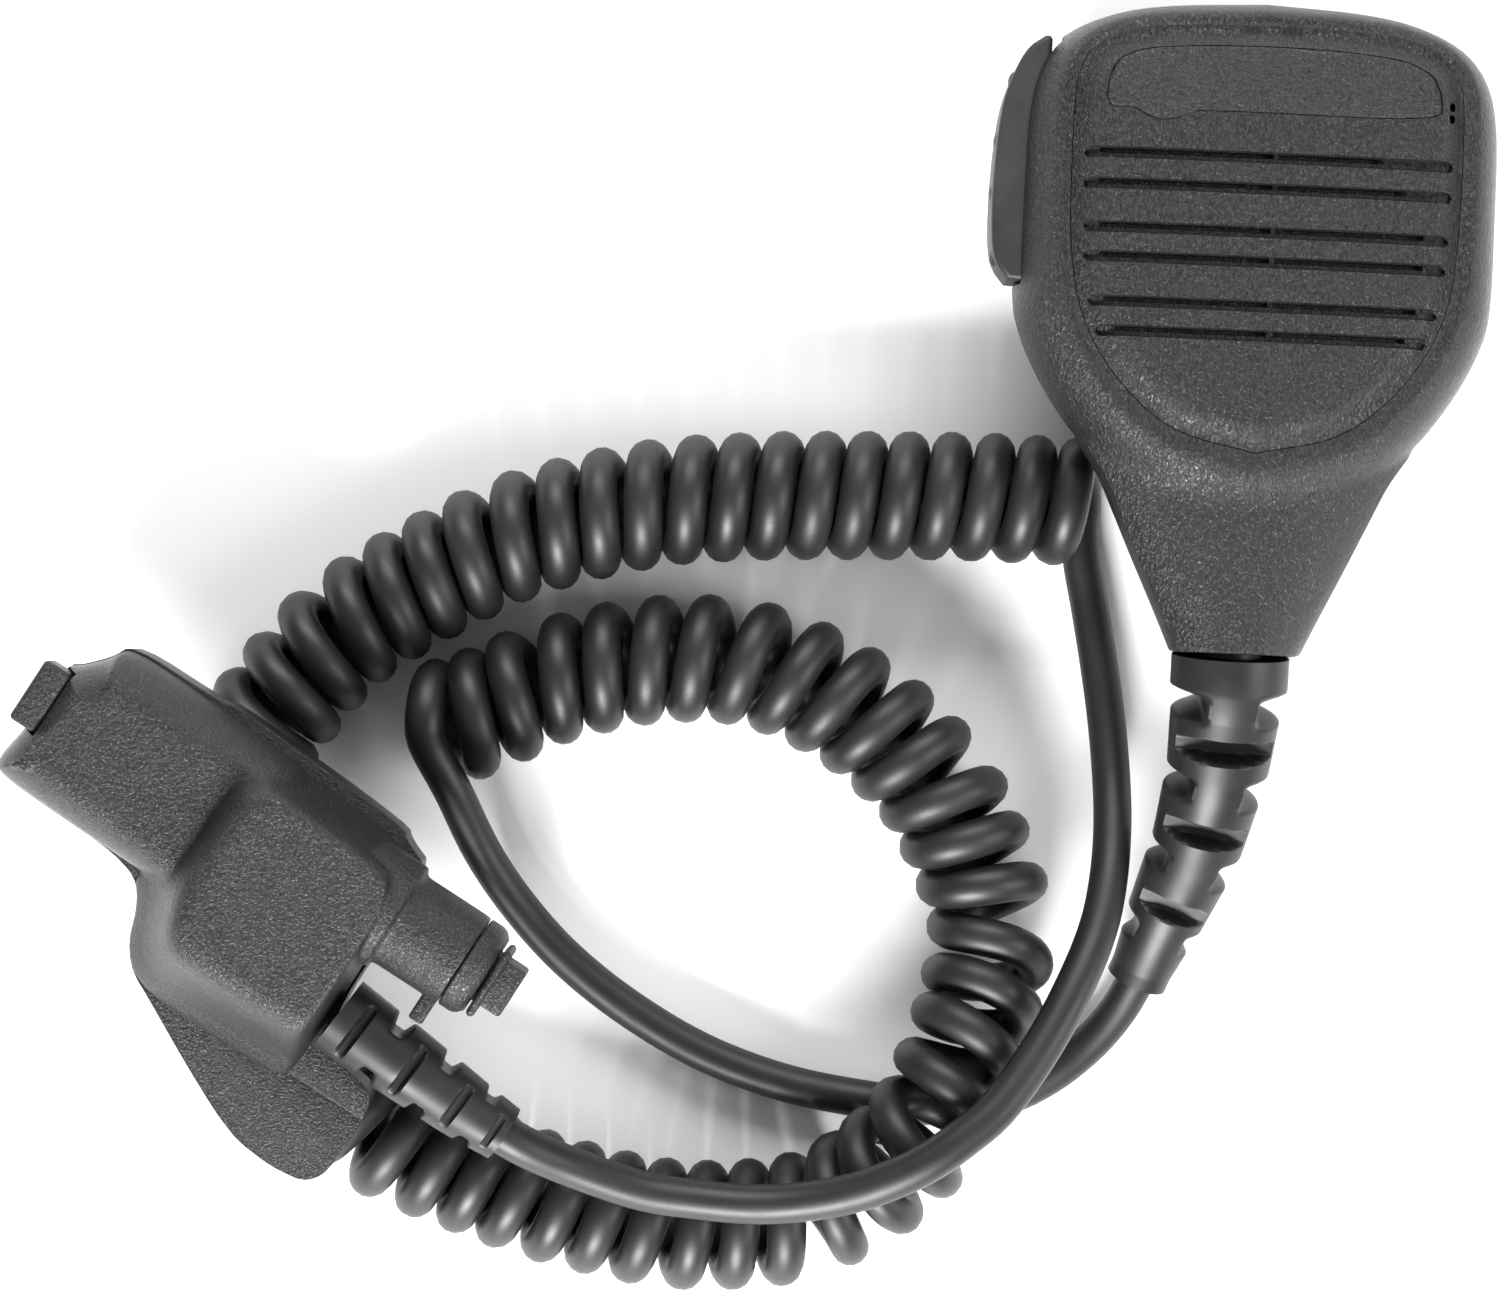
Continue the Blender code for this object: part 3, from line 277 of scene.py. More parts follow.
HEAD_OUTLINE = mirrored(smooth([*HEAD_SIDE, *HEAD_FOOT]))
BODY_OUTLINE = mirrored([*smooth([*HEAD_SIDE, *NECK_SIDE]), (0, NECK_END_Y)])
PANEL_OUTLINE = mirrored(smooth(PANEL_SIDE, 0.8))
LABEL_OUTLINE = rounded(LABEL_FIELD, 2)


# ---------------------------------------------------------------- surface of the head and neck

def dome(part, power):
    part = min(max(part, 0.0), 1.0)
    return math.sqrt(1 - (1 - part) ** power)


def neck_height(x, y, at_head, at_end):
    """Half an oval over the neck's width, lower towards the neck's end."""
    if y > -24:
        return -20.0
    part = min(max((y - NECK_END_Y) / 26.0, 0.0), 1.0)
    half_width = 8.2 + 13.5 * part
    inside = 1 - min(abs(x) / half_width, 1) ** 2.3
    return (at_end + (at_head - at_end) * part) * inside ** (1 / 2.3)


def blend(a, b, width):
    overlap = max(width - abs(a - b), 0) / width
    return max(a, b) + overlap * overlap * width / 4


def front_height(x, y, settings):
    """Height of the front surface above the parting plane, with the valley round the grille panel."""
    depth = edge_distance(x, y, HEAD_OUTLINE)
    if depth > 0:
        head = FRONT_RISE * dome(depth / 8.0, 2.4) + CROWN * dome(max(depth - 6.4, 0) / 20, 2)
    else:
        head = 3.5 * depth
    panel = edge_distance(x, y, PANEL_OUTLINE)
    width = (settings.valley_inside if panel > 0 else settings.valley_outside) / MM
    head -= settings.valley / MM * (1 - ramp(abs(panel), 0.0, width))
    return max(blend(head, neck_height(x, y, 9.6, 7.7), 2.6), 0.8)


def back_depth(x, y):
    """Depth of the back surface below the parting plane."""
    depth = edge_distance(x, y, HEAD_OUTLINE)
    deepest = PART_Z - BACK_Z
    head = deepest * dome(depth / 7.5, 2.2) if depth > 0 else 3.5 * depth
    return min(max(blend(head, neck_height(x, y, 8.4, 7.5), 1.2), 0.8), deepest)


# ---------------------------------------------------------------- mesh work with the modelling operators

def leave_edit_mode():
    if bpy.context.object and bpy.context.object.mode != "OBJECT":
        bpy.ops.object.mode_set(mode="OBJECT")


def only(piece):
    """Make one piece the selected and active one."""
    leave_edit_mode()
    bpy.ops.object.select_all(action="DESELECT")
    piece.select_set(True)
    bpy.context.view_layer.objects.active = piece
    return piece


def nothing_selected():
    leave_edit_mode()
    bpy.ops.object.select_all(action="DESELECT")


def named(name):
    """Name the object that an add operator has just made."""
    piece = bpy.context.object
    piece.name = name
    piece.data.name = name
    return piece


def outward(piece, weld=0.001):
    """Merge doubles and point the faces outwards."""
    only(piece)
    bpy.ops.object.mode_set(mode="EDIT")
    bpy.ops.mesh.select_all(action="SELECT")
    bpy.ops.mesh.remove_doubles(threshold=weld * MM)
    bpy.ops.mesh.normals_make_consistent(inside=False)
    bpy.ops.object.mode_set(mode="OBJECT")
    return piece


def apply_all(piece):
    only(piece)
    for modifier in list(piece.modifiers):
        bpy.ops.object.modifier_apply(modifier=modifier.name)
    return piece


def settle(piece, angle=40):
    """Bring a finished piece to the origin, with its place in its mesh, and shade it."""
    only(piece)
    bpy.ops.object.transform_apply(location=True, rotation=True, scale=True)
    bpy.ops.object.shade_smooth_by_angle(angle=math.radians(angle))
    return piece


def lay_ring(piece, row, ring):
    """Put a row of vertices, by index, on the points of a ring."""
    shape = bmesh.from_edit_mesh(piece.data)
    shape.verts.ensure_lookup_table()
    for index, point in zip(row, ring):
        shape.verts[index].co = Vector(point) * MM
    bmesh.update_edit_mesh(piece.data)


def next_row(piece, row):
    """The vertices that the last extrusion made, in the order of the row that they came from."""
    shape = bmesh.from_edit_mesh(piece.data)
    shape.verts.ensure_lookup_table()
    fresh = {vert.index for vert in shape.verts if vert.select}
    grown = []
    for index in row:
        vert = shape.verts[index]
        grown.append(next(edge.other_vert(vert).index for edge in vert.link_edges
                          if edge.other_vert(vert).index in fresh))
    return grown


def ringed(name, rings, caps=True):
    """A circle extruded ring by ring, each ring laid on its own points."""
    nothing_selected()
    bpy.ops.mesh.primitive_circle_add(vertices=len(rings[0]), radius=MM, fill_type="NOTHING")
    piece = named(name)
    bpy.ops.object.mode_set(mode="EDIT")
    row = list(range(len(rings[0])))
    lay_ring(piece, row, rings[0])
    if caps:
        bpy.ops.mesh.edge_face_add()
        bpy.ops.mesh.select_mode(type="EDGE")
    for ring in rings[1:]:
        bpy.ops.mesh.extrude_edges_move()
        row = next_row(piece, row)
        lay_ring(piece, row, ring)
    if caps:
        bpy.ops.mesh.edge_face_add()
    bpy.ops.mesh.select_mode(type="VERT")
    bpy.ops.object.mode_set(mode="OBJECT")
    return outward(piece)


def raised(name, outline, low, high, bevel=0.0, segments=3):
    """A flat outline raised between two heights, with rounded edges."""
    piece = ringed(name, [[(x, y, low) for x, y in outline], [(x, y, high) for x, y in outline]])
    return rounded_edges(piece, bevel, segments) if bevel else piece


def rounded_edges(piece, width, segments=3, angle=35):
    only(piece)
    bevel = piece.modifiers.new("rounded edges", "BEVEL")
    bevel.width = width * MM
    bevel.segments = segments
    bevel.limit_method = "ANGLE"
    bevel.angle_limit = math.radians(angle)
    bevel.harden_normals = False
    bpy.ops.object.modifier_apply(modifier=bevel.name)
    return piece


def block(name, low, high, bevel=0.0, segments=3):
    """A rounded block between two corners."""
    nothing_selected()
    middle = (Vector(low) + Vector(high)) / 2
    bpy.ops.mesh.primitive_cube_add(size=1.0, location=middle * MM)
    piece = named(name)
    piece.scale = (Vector(high) - Vector(low)) * MM
    bpy.ops.object.transform_apply(location=True, rotation=True, scale=True)
    return rounded_edges(piece, bevel, segments) if bevel else piece


def rod(name, radius, start, end, sides=48, bevel=0.0, taper=1.0):
    """A round bar between two points."""
    nothing_selected()
    start, end = Vector(start), Vector(end)
    bpy.ops.mesh.primitive_cone_add(vertices=sides, radius1=radius * MM, radius2=radius * taper * MM,
                                    depth=(end - start).length * MM, location=(start + end) / 2 * MM,
                                    rotation=(end - start).to_track_quat("Z", "Y").to_euler())
    piece = named(name)
    bpy.ops.object.transform_apply(location=True, rotation=True, scale=True)
    return rounded_edges(piece, bevel) if bevel else piece


def boolean(piece, other, operation):
    """Join, cut or cross one piece with another, which is used up."""
    only(piece)
    modifier = piece.modifiers.new("boolean", "BOOLEAN")
    modifier.operation = operation
    modifier.solver = "EXACT"
    modifier.object = other
    bpy.ops.object.modifier_apply(modifier=modifier.name)
    bpy.data.objects.remove(other, do_unlink=True)
    return piece


def fused(piece, voxel, passes):
    """One moulded skin over joined shapes, with softened creases."""
    only(piece)
    remesh = piece.modifiers.new("moulded", "REMESH")
    remesh.mode = "VOXEL"
    remesh.voxel_size = voxel * MM
    relax = piece.modifiers.new("softened", "SMOOTH")
    relax.factor = 0.5
    relax.iterations = passes
    return apply_all(piece)


def in_plug_frame(piece):
    """Turn a piece that was made in the plug's own frame into place."""
    moved = Matrix.Translation((PLUG_PLACE[0] * MM, PLUG_PLACE[1] * MM, 0))
    turned = Matrix.Rotation(PLUG_TURN, 4, "Z")
    piece.data.transform(moved @ turned @ piece.matrix_world)
    piece.matrix_world = Matrix.Identity(4)
    return piece


def stands_for(piece, body, finish, slot, *nodes, angle=40):
    """Finish a piece: settle it, paint it and bind it to the frame."""
    if piece.type == "MESH":
        settle(piece, angle)
    piece.data.materials.clear()
    piece.data.materials.append(finish)
    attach(piece, body)
    if nodes:
        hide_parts(*nodes)
    return piece


def finished_copy(node, name, body, finish, slot, bevel, segments=2, angle=35):
    """A copy of a frame node with merged vertices and rounded edges, which stands for it."""
    nothing_selected()
    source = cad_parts[node]
    piece = bpy.data.objects.new(name, source.data.copy())
    bpy.context.scene.collection.objects.link(piece)
    outward(piece, 0.02)
    bpy.ops.object.mode_set(mode="EDIT")
    bpy.ops.mesh.select_all(action="SELECT")
    bpy.ops.mesh.dissolve_limited(angle_limit=math.radians(1.0))
    bpy.ops.object.mode_set(mode="OBJECT")
    if bevel:
        rounded_edges(piece, bevel, segments, angle)
    return stands_for(piece, body, finish, slot, node)


# ---------------------------------------------------------------- finishes

class Socket:
    """A node's output in an expression: arithmetic on it adds Math nodes."""

    def __init__(self, paint, output):
        self.paint = paint
        self.output = output

    def maths(self, operation, *values):
        return self.paint.node("ShaderNodeMath", {"operation": operation}, dict(enumerate(values)))

    def __add__(self, other):
        return self.maths("ADD", self, other)

    def __radd__(self, other):
        return self.maths("ADD", other, self)

    def __sub__(self, other):
        return self.maths("SUBTRACT", self, other)

    def __rsub__(self, other):
        return self.maths("SUBTRACT", other, self)

    def __mul__(self, other):
        return self.maths("MULTIPLY", self, other)

    def __rmul__(self, other):
        return self.maths("MULTIPLY", other, self)


class Paint:
    """One procedural material, built node by node."""

    def __init__(self, name):
        self.material = bpy.data.materials.new(name)
        self.material.use_nodes = True
        self.tree = self.material.node_tree
        self.tree.nodes.clear()

    def node(self, kind, settings=None, sockets=None, output=0):
        made = self.tree.nodes.new(kind)
        for key, value in (settings or {}).items():
            if key == "stops":
                self.set_stops(made.color_ramp, value)
            else:
                setattr(made, key, value)
        for key, value in (sockets or {}).items():
            if isinstance(value, Socket):
                self.tree.links.new(value.output, made.inputs[key])
            else:
                made.inputs[key].default_value = value
        return Socket(self, made.outputs[output])

    def set_stops(self, color_ramp, stops):
        for element, (place, tone) in zip(color_ramp.elements, stops):
            element.position = place
            element.color = (tone, tone, tone, 1.0)

    def place(self, stretch=(1.0, 1.0, 1.0)):
        """Position on the piece in metres, stretched."""
        spot = self.node("ShaderNodeTexCoord", output="Object")
        return self.node("ShaderNodeVectorMath", {"operation": "MULTIPLY"}, {0: spot, 1: stretch})

    def noise(self, place, size, detail=3.0, distortion=0.0):
        """Cloudy noise with features of about the given size in millimetres, from 0 to 1."""
        return self.node("ShaderNodeTexNoise", {"noise_dimensions": "3D"},
                         {"Vector": place, "Scale": 1.0 / (size * MM), "Detail": detail,
                          "Roughness": 0.55, "Distortion": distortion})

    def pebbles(self, place, size, smoothness=0.6):
        """Rounded cells of about the given size in millimetres."""
        return self.node("ShaderNodeTexVoronoi", {"feature": "SMOOTH_F1"},
                         {"Vector": place, "Scale": 1.0 / (size * MM), "Smoothness": smoothness},
                         output="Distance")

    def spread(self, value, low, high):
        """A value between two others moved to run from 0 to 1."""
        return self.node("ShaderNodeMapRange", {"clamp": True},
                         {"Value": value, "From Min": low, "From Max": high, "To Min": 0.0, "To Max": 1.0})

    def mix(self, part, first, second):
        """Two colours mixed by a factor."""
        colours = {0: part, 6: (*first, 1.0), 7: (*second, 1.0)}
        return self.node("ShaderNodeMix", {"data_type": "RGBA"}, colours, output=2)

    def bump(self, height, strength, depth, normal=None):
        sockets = {"Strength": strength, "Distance": depth * MM, "Height": height}
        if normal is not None:
            sockets["Normal"] = normal
        return self.node("ShaderNodeBump", sockets=sockets)

    def finish(self, **sockets):
        """Close the material with a Principled shader; keys are its socket names with _ for spaces."""
        named_sockets = {key.replace("_", " "): value for key, value in sockets.items()}
        surface = self.node("ShaderNodeBsdfPrincipled", sockets=named_sockets)
        self.node_output(surface)
        return self.material

    def node_output(self, surface):
        target = self.tree.nodes.new("ShaderNodeOutputMaterial")
        self.tree.links.new(surface.output, target.inputs["Surface"])


def lighter(tone, factor):
    return tuple(min(channel * factor, 1.0) for channel in tone)


def pebbled_plastic(name, tone, size, grain, roughness, stretch=(1.6, 0.9, 1.0)):
    """Moulded plastic with a leather-like grain: creased pebbles over a fine tooth."""
    paint = Paint(name)
    place = paint.place(stretch)
    creases = paint.noise(place, size * 1.5, 4.0, 1.2)
    cells = paint.pebbles(place, size * 1.1)
    tooth = paint.noise(paint.place(), 0.12, 2.0)
    height = paint.spread(creases, 0.36, 0.64) * 0.75 + cells * 0.45 + tooth * 0.12
    clouds = paint.noise(paint.place(), 14.0, 3.0)
    scuffs = paint.noise(paint.place((1.0, 0.25, 1.0)), 1.8, 5.0, 0.6)
    worn = paint.spread(scuffs, 0.58, 0.8)
    # Colour: half random cloudy tone, half the grain's own height, which makes raised pebbles lighter and
    # creases darker. That second half is painted shade.
    base = paint.mix(clouds * 0.5 + height * 0.5, lighter(tone, 0.78), lighter(tone, 1.35))
    gloss = roughness + clouds * 0.1 - 0.05 - height * 0.06 + worn * 0.08
    return paint.finish(Base_Color=base, Roughness=gloss, Normal=paint.bump(height, grain, 0.15),
                        Specular_IOR_Level=0.42)


def smooth_rubber(name, tone, roughness, depth=0.03):
    """Moulded rubber: nearly smooth, with a bloom that dulls it in patches."""
    paint = Paint(name)
    place = paint.place()
    tooth = paint.noise(place, 0.18, 3.0)
    flow = paint.noise(place, 3.2, 4.0, 0.8)
    bloom = paint.spread(paint.noise(place, 9.0, 4.0), 0.4, 0.75)
    base = paint.mix(bloom * 0.7 + flow * 0.3, lighter(tone, 0.8), lighter(tone, 1.5))
    gloss = roughness + bloom * 0.1 + tooth * 0.05 - 0.06
    return paint.finish(Base_Color=base, Roughness=gloss, Normal=paint.bump(tooth * 0.5 + flow, 0.35, depth),
                        Specular_IOR_Level=0.36)


def cord_skin(name, tone):
    """Satin cord jacket: faint drawing marks, handling marks and a soft bloom."""
    paint = Paint(name)
    place = paint.place()
    tooth = paint.noise(place, 0.25, 3.0)
    marks = paint.spread(paint.noise(paint.place((1.0, 1.0, 2.5)), 1.3, 6.0, 1.4), 0.6, 0.78)
    bloom = paint.spread(paint.noise(place, 11.0, 3.0), 0.35, 0.8)
    base = paint.mix(bloom * 0.6 + marks * 0.4, lighter(tone, 0.8), lighter(tone, 1.7))
    gloss = 0.43 + bloom * 0.1 + marks * 0.1 + tooth * 0.04
    return paint.finish(Base_Color=base, Roughness=gloss, Normal=paint.bump(tooth + marks * 0.4, 0.25, 0.03),
                        Specular_IOR_Level=0.5)


def brushed_metal(name, tone, roughness):
    paint = Paint(name)
    brush = paint.noise(paint.place((1.0, 14.0, 1.0)), 2.0, 4.0)
    spots = paint.noise(paint.place(), 1.1, 3.0)
    base = paint.mix(spots, lighter(tone, 0.85), tone)
    gloss = roughness + brush * 0.14 - 0.05
    return paint.finish(Base_Color=base, Roughness=gloss, Metallic=1.0, Normal=paint.bump(brush, 0.2, 0.02))


def board_lacquer(name):
    """Green board with copper tracks under its lacquer."""
    paint = Paint(name)
    tracks = paint.node("ShaderNodeTexBrick", {"offset": 0.5},
                        {"Vector": paint.place(), "Scale": 260.0, "Mortar Size": 0.06, "Mortar Smooth": 0.2},
                        output="Fac")
    weave = paint.noise(paint.place(), 0.5, 2.0)
    base = paint.mix(tracks, (0.012, 0.10, 0.035), (0.03, 0.20, 0.07))
    return paint.finish(Base_Color=base, Roughness=0.32 + weave * 0.1, Normal=paint.bump(tracks, 0.3, 0.03))


def pressed_fibre(name, tone, size):
    """Paper pulp or felt: matted fibres."""
    paint = Paint(name)
    fibres = paint.noise(paint.place((1.0, 2.2, 1.0)), size, 6.0, 2.0)
    base = paint.mix(fibres, lighter(tone, 0.6), lighter(tone, 1.6))
    return paint.finish(Base_Color=base, Roughness=0.82 + fibres * 0.15, Normal=paint.bump(fibres, 0.6, 0.1))


def pale_floor(name, tone):
    paint = Paint(name)
    drift = paint.noise(paint.place(), 240.0, 2.0)
    base = paint.mix(drift, lighter(tone, 0.985), tone)
    return paint.finish(Base_Color=base, Roughness=0.75 + drift * 0.1)


EVEN_GRAIN = (1.0, 1.0, 1.0)
FINISHES = {}


def make_finishes(settings):
    grain = settings.grain
    FINISHES["housing"] = pebbled_plastic("pebbled_housing", settings.plastic, 0.5, grain, 0.36)
    FINISHES["panel"] = pebbled_plastic("pebbled_panel", settings.plastic, 0.52, grain * 1.15, 0.34)
    FINISHES["label"] = pebbled_plastic("pebbled_label_field", settings.plastic, 0.36, grain * 0.9, 0.36,
                                        EVEN_GRAIN)
    FINISHES["plug"] = pebbled_plastic("pebbled_plug", settings.plastic, 0.34, grain * 0.8, 0.37,
                                       EVEN_GRAIN)
    FINISHES["clip"] = pebbled_plastic("satin_clip", settings.plastic, 0.3, grain * 0.5, 0.4, EVEN_GRAIN)
    FINISHES["key"] = smooth_rubber("key_rubber_skin", settings.rubber, 0.5, 0.05)
    FINISHES["boot"] = smooth_rubber("strain_relief_rubber", settings.boot, 0.45)
    FINISHES["cord"] = cord_skin("satin_cord_jacket", settings.jacket)
    FINISHES["steel"] = brushed_metal("plated_steel", (0.60, 0.60, 0.62), 0.28)
    FINISHES["gold"] = brushed_metal("gold_contact", (0.80, 0.58, 0.24), 0.24)
    FINISHES["board"] = board_lacquer("lacquered_board")
    FINISHES["paper"] = pressed_fibre("pulp_cone", (0.05, 0.05, 0.05), 0.6)
    FINISHES["felt"] = pressed_fibre("dust_felt_mat", (0.012, 0.012, 0.012), 0.35)


SLOT_FINISH = {"black_textured_plastic": "plug", "key_rubber": "key", "cord_jacket": "cord",
               "boot_rubber": "boot", "bright_steel": "steel", "gold_contacts": "gold",
               "circuit_board": "board", "cone_paper": "paper", "dust_felt": "felt"}


# ---------------------------------------------------------------- stage

def softbox(name, place, target, size, power):
    """A square light that faces a point."""
    nothing_selected()
    bpy.ops.object.light_add(type="AREA", location=Vector(place) * MM)
    lamp = bpy.context.object
    lamp.name = name
    lamp.data.shape = "RECTANGLE"
    lamp.data.size = size[0] * MM
    lamp.data.size_y = size[1] * MM
    lamp.data.energy = power
    lamp.rotation_euler = (Vector(target) - Vector(place)).to_track_quat("-Z", "Y").to_euler()
    return lamp


CAMERA_OVER = (-62.74, -59.77)
CAMERA_TURN = math.radians(2.6)
WORLD_LIGHT = 0.36
NORTH_SHARE = 0.42      # of the key light's power
EAST_SHARE = 0.2


def make_stage(settings):
    nothing_selected()
    over_x, over_y = CAMERA_OVER
    bpy.ops.object.camera_add(location=(over_x * MM, over_y * MM, settings.camera_height),
                              rotation=(0, 0, CAMERA_TURN))
    camera = bpy.context.object
    camera.name = "camera_overhead"
    camera.data.lens = settings.focal_length
    camera.data.sensor_width = 36.0
    camera.data.clip_start = 0.01
    bpy.context.scene.camera = camera

    bpy.ops.mesh.primitive_plane_add(size=6.0, location=(0, 0, -0.0001))
    floor = named("studio_floor")
    floor.data.materials.append(pale_floor("pale_floor", settings.floor))

    world = bpy.data.worlds.new("soft_studio")
    world.use_nodes = True
    world.node_tree.nodes["Background"].inputs["Color"].default_value = (1.0, 1.0, 1.0, 1.0)
    world.node_tree.nodes["Background"].inputs["Strength"].default_value = WORLD_LIGHT
    bpy.context.scene.world = world
    bpy.context.scene.view_settings.view_transform = "Standard"

    middle = (-60.0, -60.0, 10.0)
    softbox("key_softbox", (-180.0, -640.0, 400.0), middle, (340, 180), settings.key_power)
    softbox("north_softbox", (-60.0, 560.0, 420.0), middle, (600, 300), settings.key_power * NORTH_SHARE)
    softbox("east_softbox", (520.0, -160.0, 420.0), middle, (300, 400), settings.key_power * EAST_SHARE)


# ---------------------------------------------------------------- cord

COIL_LEAD_IN = (-105.2, -71.6, 8.75)     # where the first turn tops the coil
COIL_LEAD_OUT = (-18.6, -38.0, 8.75)     # where the last turn reaches the bottom


def coil_turns(settings):
    """The cord's centre line through its coil: a left-handed helix that opens where the coil bends."""
    step = 0.22
    axis = through([COIL_LEAD_IN, *COIL, COIL_LEAD_OUT], step)
    radius = settings.helix_radius / MM
    reach = 14
    rates = []
    for i in range(len(axis)):
        a, b, c = axis[max(i - reach, 0)], axis[i], axis[min(i + reach, len(axis) - 1)]
        bend = 0.0
        if reach <= i < len(axis) - reach:
            bend = (b - a).angle(c - b) / ((c - a).length / 2)
        rates.append((1 - radius * bend) / (settings.pitch / MM))
    gap = [0.0, *[(b - a).length for a, b in zip(axis, axis[1:])]]
    turns = sum(rate * length for rate, length in zip(rates, gap))
    scale = (round(turns - 0.5) + 0.5) / turns
    points = []
    phase = -math.pi / 2
    for i, centre in enumerate(axis):
        phase += 2 * math.pi * rates[i] * scale * gap[i]
        ahead = (axis[min(i + 3, len(axis) - 1)] - axis[max(i - 3, 0)]).normalized()
        side = Vector((-ahead.y, ahead.x, 0)).normalized()
        up = ahead.cross(side)
        points.append(centre + radius * (math.cos(phase) * side - math.sin(phase) * up))
    return points


def at_plug(u, v, z):
    """A point in the plug's own frame, moved to the frame of the whole."""
    x = PLUG_PLACE[0] + u * math.cos(PLUG_TURN) - v * math.sin(PLUG_TURN)
    y = PLUG_PLACE[1] + u * math.sin(PLUG_TURN) + v * math.cos(PLUG_TURN)
    return x, y, z


def cord_line(settings):
    """The whole cord from inside one strain relief to inside the other, never lower than the floor."""
    turns = coil_turns(settings)
    route = [*MIC_BOOT[-3:], *MIC_TAIL[1:-2], *turns[:-1:2], turns[-1], *PLUG_TAIL[1:-1],
             at_plug(48.5, -8.9, 25.7), at_plug(41, -8.6, 26.4), at_plug(36, -8.3, 26.8)]
    line = through(route, 1.5)
    for point in line:
        point.z = max(point.z, CORD_R + 0.02)
    return line


def make_cord(settings):
    line = cord_line(settings)
    nothing_selected()
    curve = bpy.data.curves.new("curly_cord", "CURVE")
    curve.dimensions = "3D"
    spline = curve.splines.new("POLY")
    spline.points.add(len(line) - 1)
    for point, place in zip(spline.points, line):
        point.co = (*(place * MM), 1.0)
    curve.bevel_depth = settings.diameter / 2
    curve.bevel_resolution = 5
    curve.use_fill_caps = True
    curve.twist_mode = "MINIMUM"
    cord = bpy.data.objects.new("curly_cord", curve)
    bpy.context.scene.collection.objects.link(cord)
    return stands_for(cord, "microphone", FINISHES["cord"], "cord_jacket",
                      "cord_mic_tail", "cord_coil", "cord_plug_tail")


# ---------------------------------------------------------------- strain reliefs

def frames_along(route, spacing):
    """Centres, sides and ups along a bending route."""
    line = through(route, spacing)
    frames = []
    for i, centre in enumerate(line):
        ahead = (line[min(i + 2, len(line) - 1)] - line[max(i - 2, 0)]).normalized()
        side = ahead.cross(Vector((0, 0, 1))).normalized()
        frames.append((centre, side, side.cross(ahead)))
    return frames


def width_at(widths, distance):
    for (da, ra), (db, rb) in zip(widths, widths[1:]):
        if distance <= db:
            return ra + (rb - ra) * max(distance - da, 0) / (db - da)
    return widths[-1][1]


def relief_radius(distance, turn, widths, notches, windows, spine, core):
    """Radius of a slotted strain relief.

    Notches are slabs cut from both sides down to a spine; windows are lens-shaped slots in front and back.
    """
    outer = width_at(widths, distance)
    radius = outer
    across, height = abs(math.cos(turn)), abs(math.sin(turn))
    for centre, half in notches:
        away = abs(distance - centre) / half
        if away < 1.0 and across > 0.02:
            floor = max(spine / across, core)
            if floor < outer:
                radius = min(radius, floor + (outer - floor) * ramp(away, 0.3, 1.0))
    for centre, half in windows:
        opening = half * math.sqrt(max(height - 0.1, 0.0) / 0.9)
        if opening > 0.1:
            away = abs(distance - centre) / opening
            floor = max(core, min(outer, (core + 0.25) / max(height, 0.05)))
            if away < 1.0:
                radius = min(radius, floor + (outer - floor) * ramp(away, 0.7, 1.0))
    return max(radius, core)


def slotted_relief(name, route, widths, notches, windows, spine, core, sides=88, spacing=0.22):
    frames = frames_along(route, spacing)
    length = sum((b[0] - a[0]).length for a, b in zip(frames, frames[1:]))
    rings = []
    for i, (centre, side, up) in enumerate(frames):
        distance = length * i / (len(frames) - 1)
        ring = []
        for k in range(sides):
            turn = 2 * math.pi * k / sides
            radius = relief_radius(distance, turn, widths, notches, windows, spine, core)
            ring.append(centre + radius * (math.cos(turn) * side + math.sin(turn) * up))
        rings.append(ring)
    first, last = frames[0][0], frames[-1][0]
    rings.insert(0, [first + (p - first) * 0.93 for p in rings[0]])
    rings.append([last + (p - last) * 0.9 for p in rings[-1]])
    return ringed(name, rings)


def make_mic_relief():
    widths = [(0, 7.6), (4.1, 7.6), (7.0, 7.15), (15.0, 6.7), (19.0, 6.45), (27.0, 6.0), (31.0, 5.75),
              (38.8, 5.1), (42.0, 4.6), (46.0, 4.1)]
    notches = [(5.9, 2.0), (17.0, 2.1), (28.6, 2.1), (39.8, 2.0)]
    windows = [(11.0, 1.7), (22.9, 1.7), (34.8, 1.6)]
    route = [(-0.4, NECK_END_Y - 0.12, 21.5), *MIC_BOOT[1:]]
    relief = slotted_relief("mic_relief", route, widths, notches, windows, 3.2, CORD_R + 0.12)
    stem = rod("mic_relief_stem", 3.9, (-0.2, -53.0, 21.5), (-0.4, -58.6, 21.4), 40)
    flange = rod("mic_relief_flange", 5.0, (-0.1, -53.8, 21.5), (-0.1, -55.1, 21.5), 40)
    relief = boolean(boolean(relief, stem, "UNION"), flange, "UNION")
    return stands_for(relief, "microphone", FINISHES["boot"], "boot_rubber", "mic_strain_relief", angle=50)


def make_plug_relief():
    route = [at_plug(*p) for p in PLUG_BOOT]
    widths = [(0, 5.1), (10, 4.85), (19, 4.35), (26.1, 3.75)]
    notches = [(7.4, 1.4), (15.2, 1.35), (22.2, 1.2)]
    windows = [(3.2, 0.75), (11.3, 0.75), (18.9, 0.7), (24.6, 0.55)]
    relief = slotted_relief("plug_relief", route, widths, notches, windows, 2.75, CORD_R + 0.12)
    return stands_for(relief, "microphone", FINISHES["boot"], "boot_rubber", "plug_strain_relief", angle=50)


# ---------------------------------------------------------------- head

def head_angles():
    """Directions round the head, closer together where the neck is."""
    angles = []
    turn = -math.pi / 2
    while turn < 1.5 * math.pi - 1e-6:
        angles.append(turn)
        off_neck = abs(math.remainder(turn + math.pi / 2, 2 * math.pi))
        turn += math.radians(1.0 if off_neck < math.radians(43.9) else 2.0)
    return angles


def shrunk(outline, part):
    cx, cy = HEAD_CENTRE
    return [(cx + (x - cx) * part, cy + (y - cy) * part) for x, y in outline]


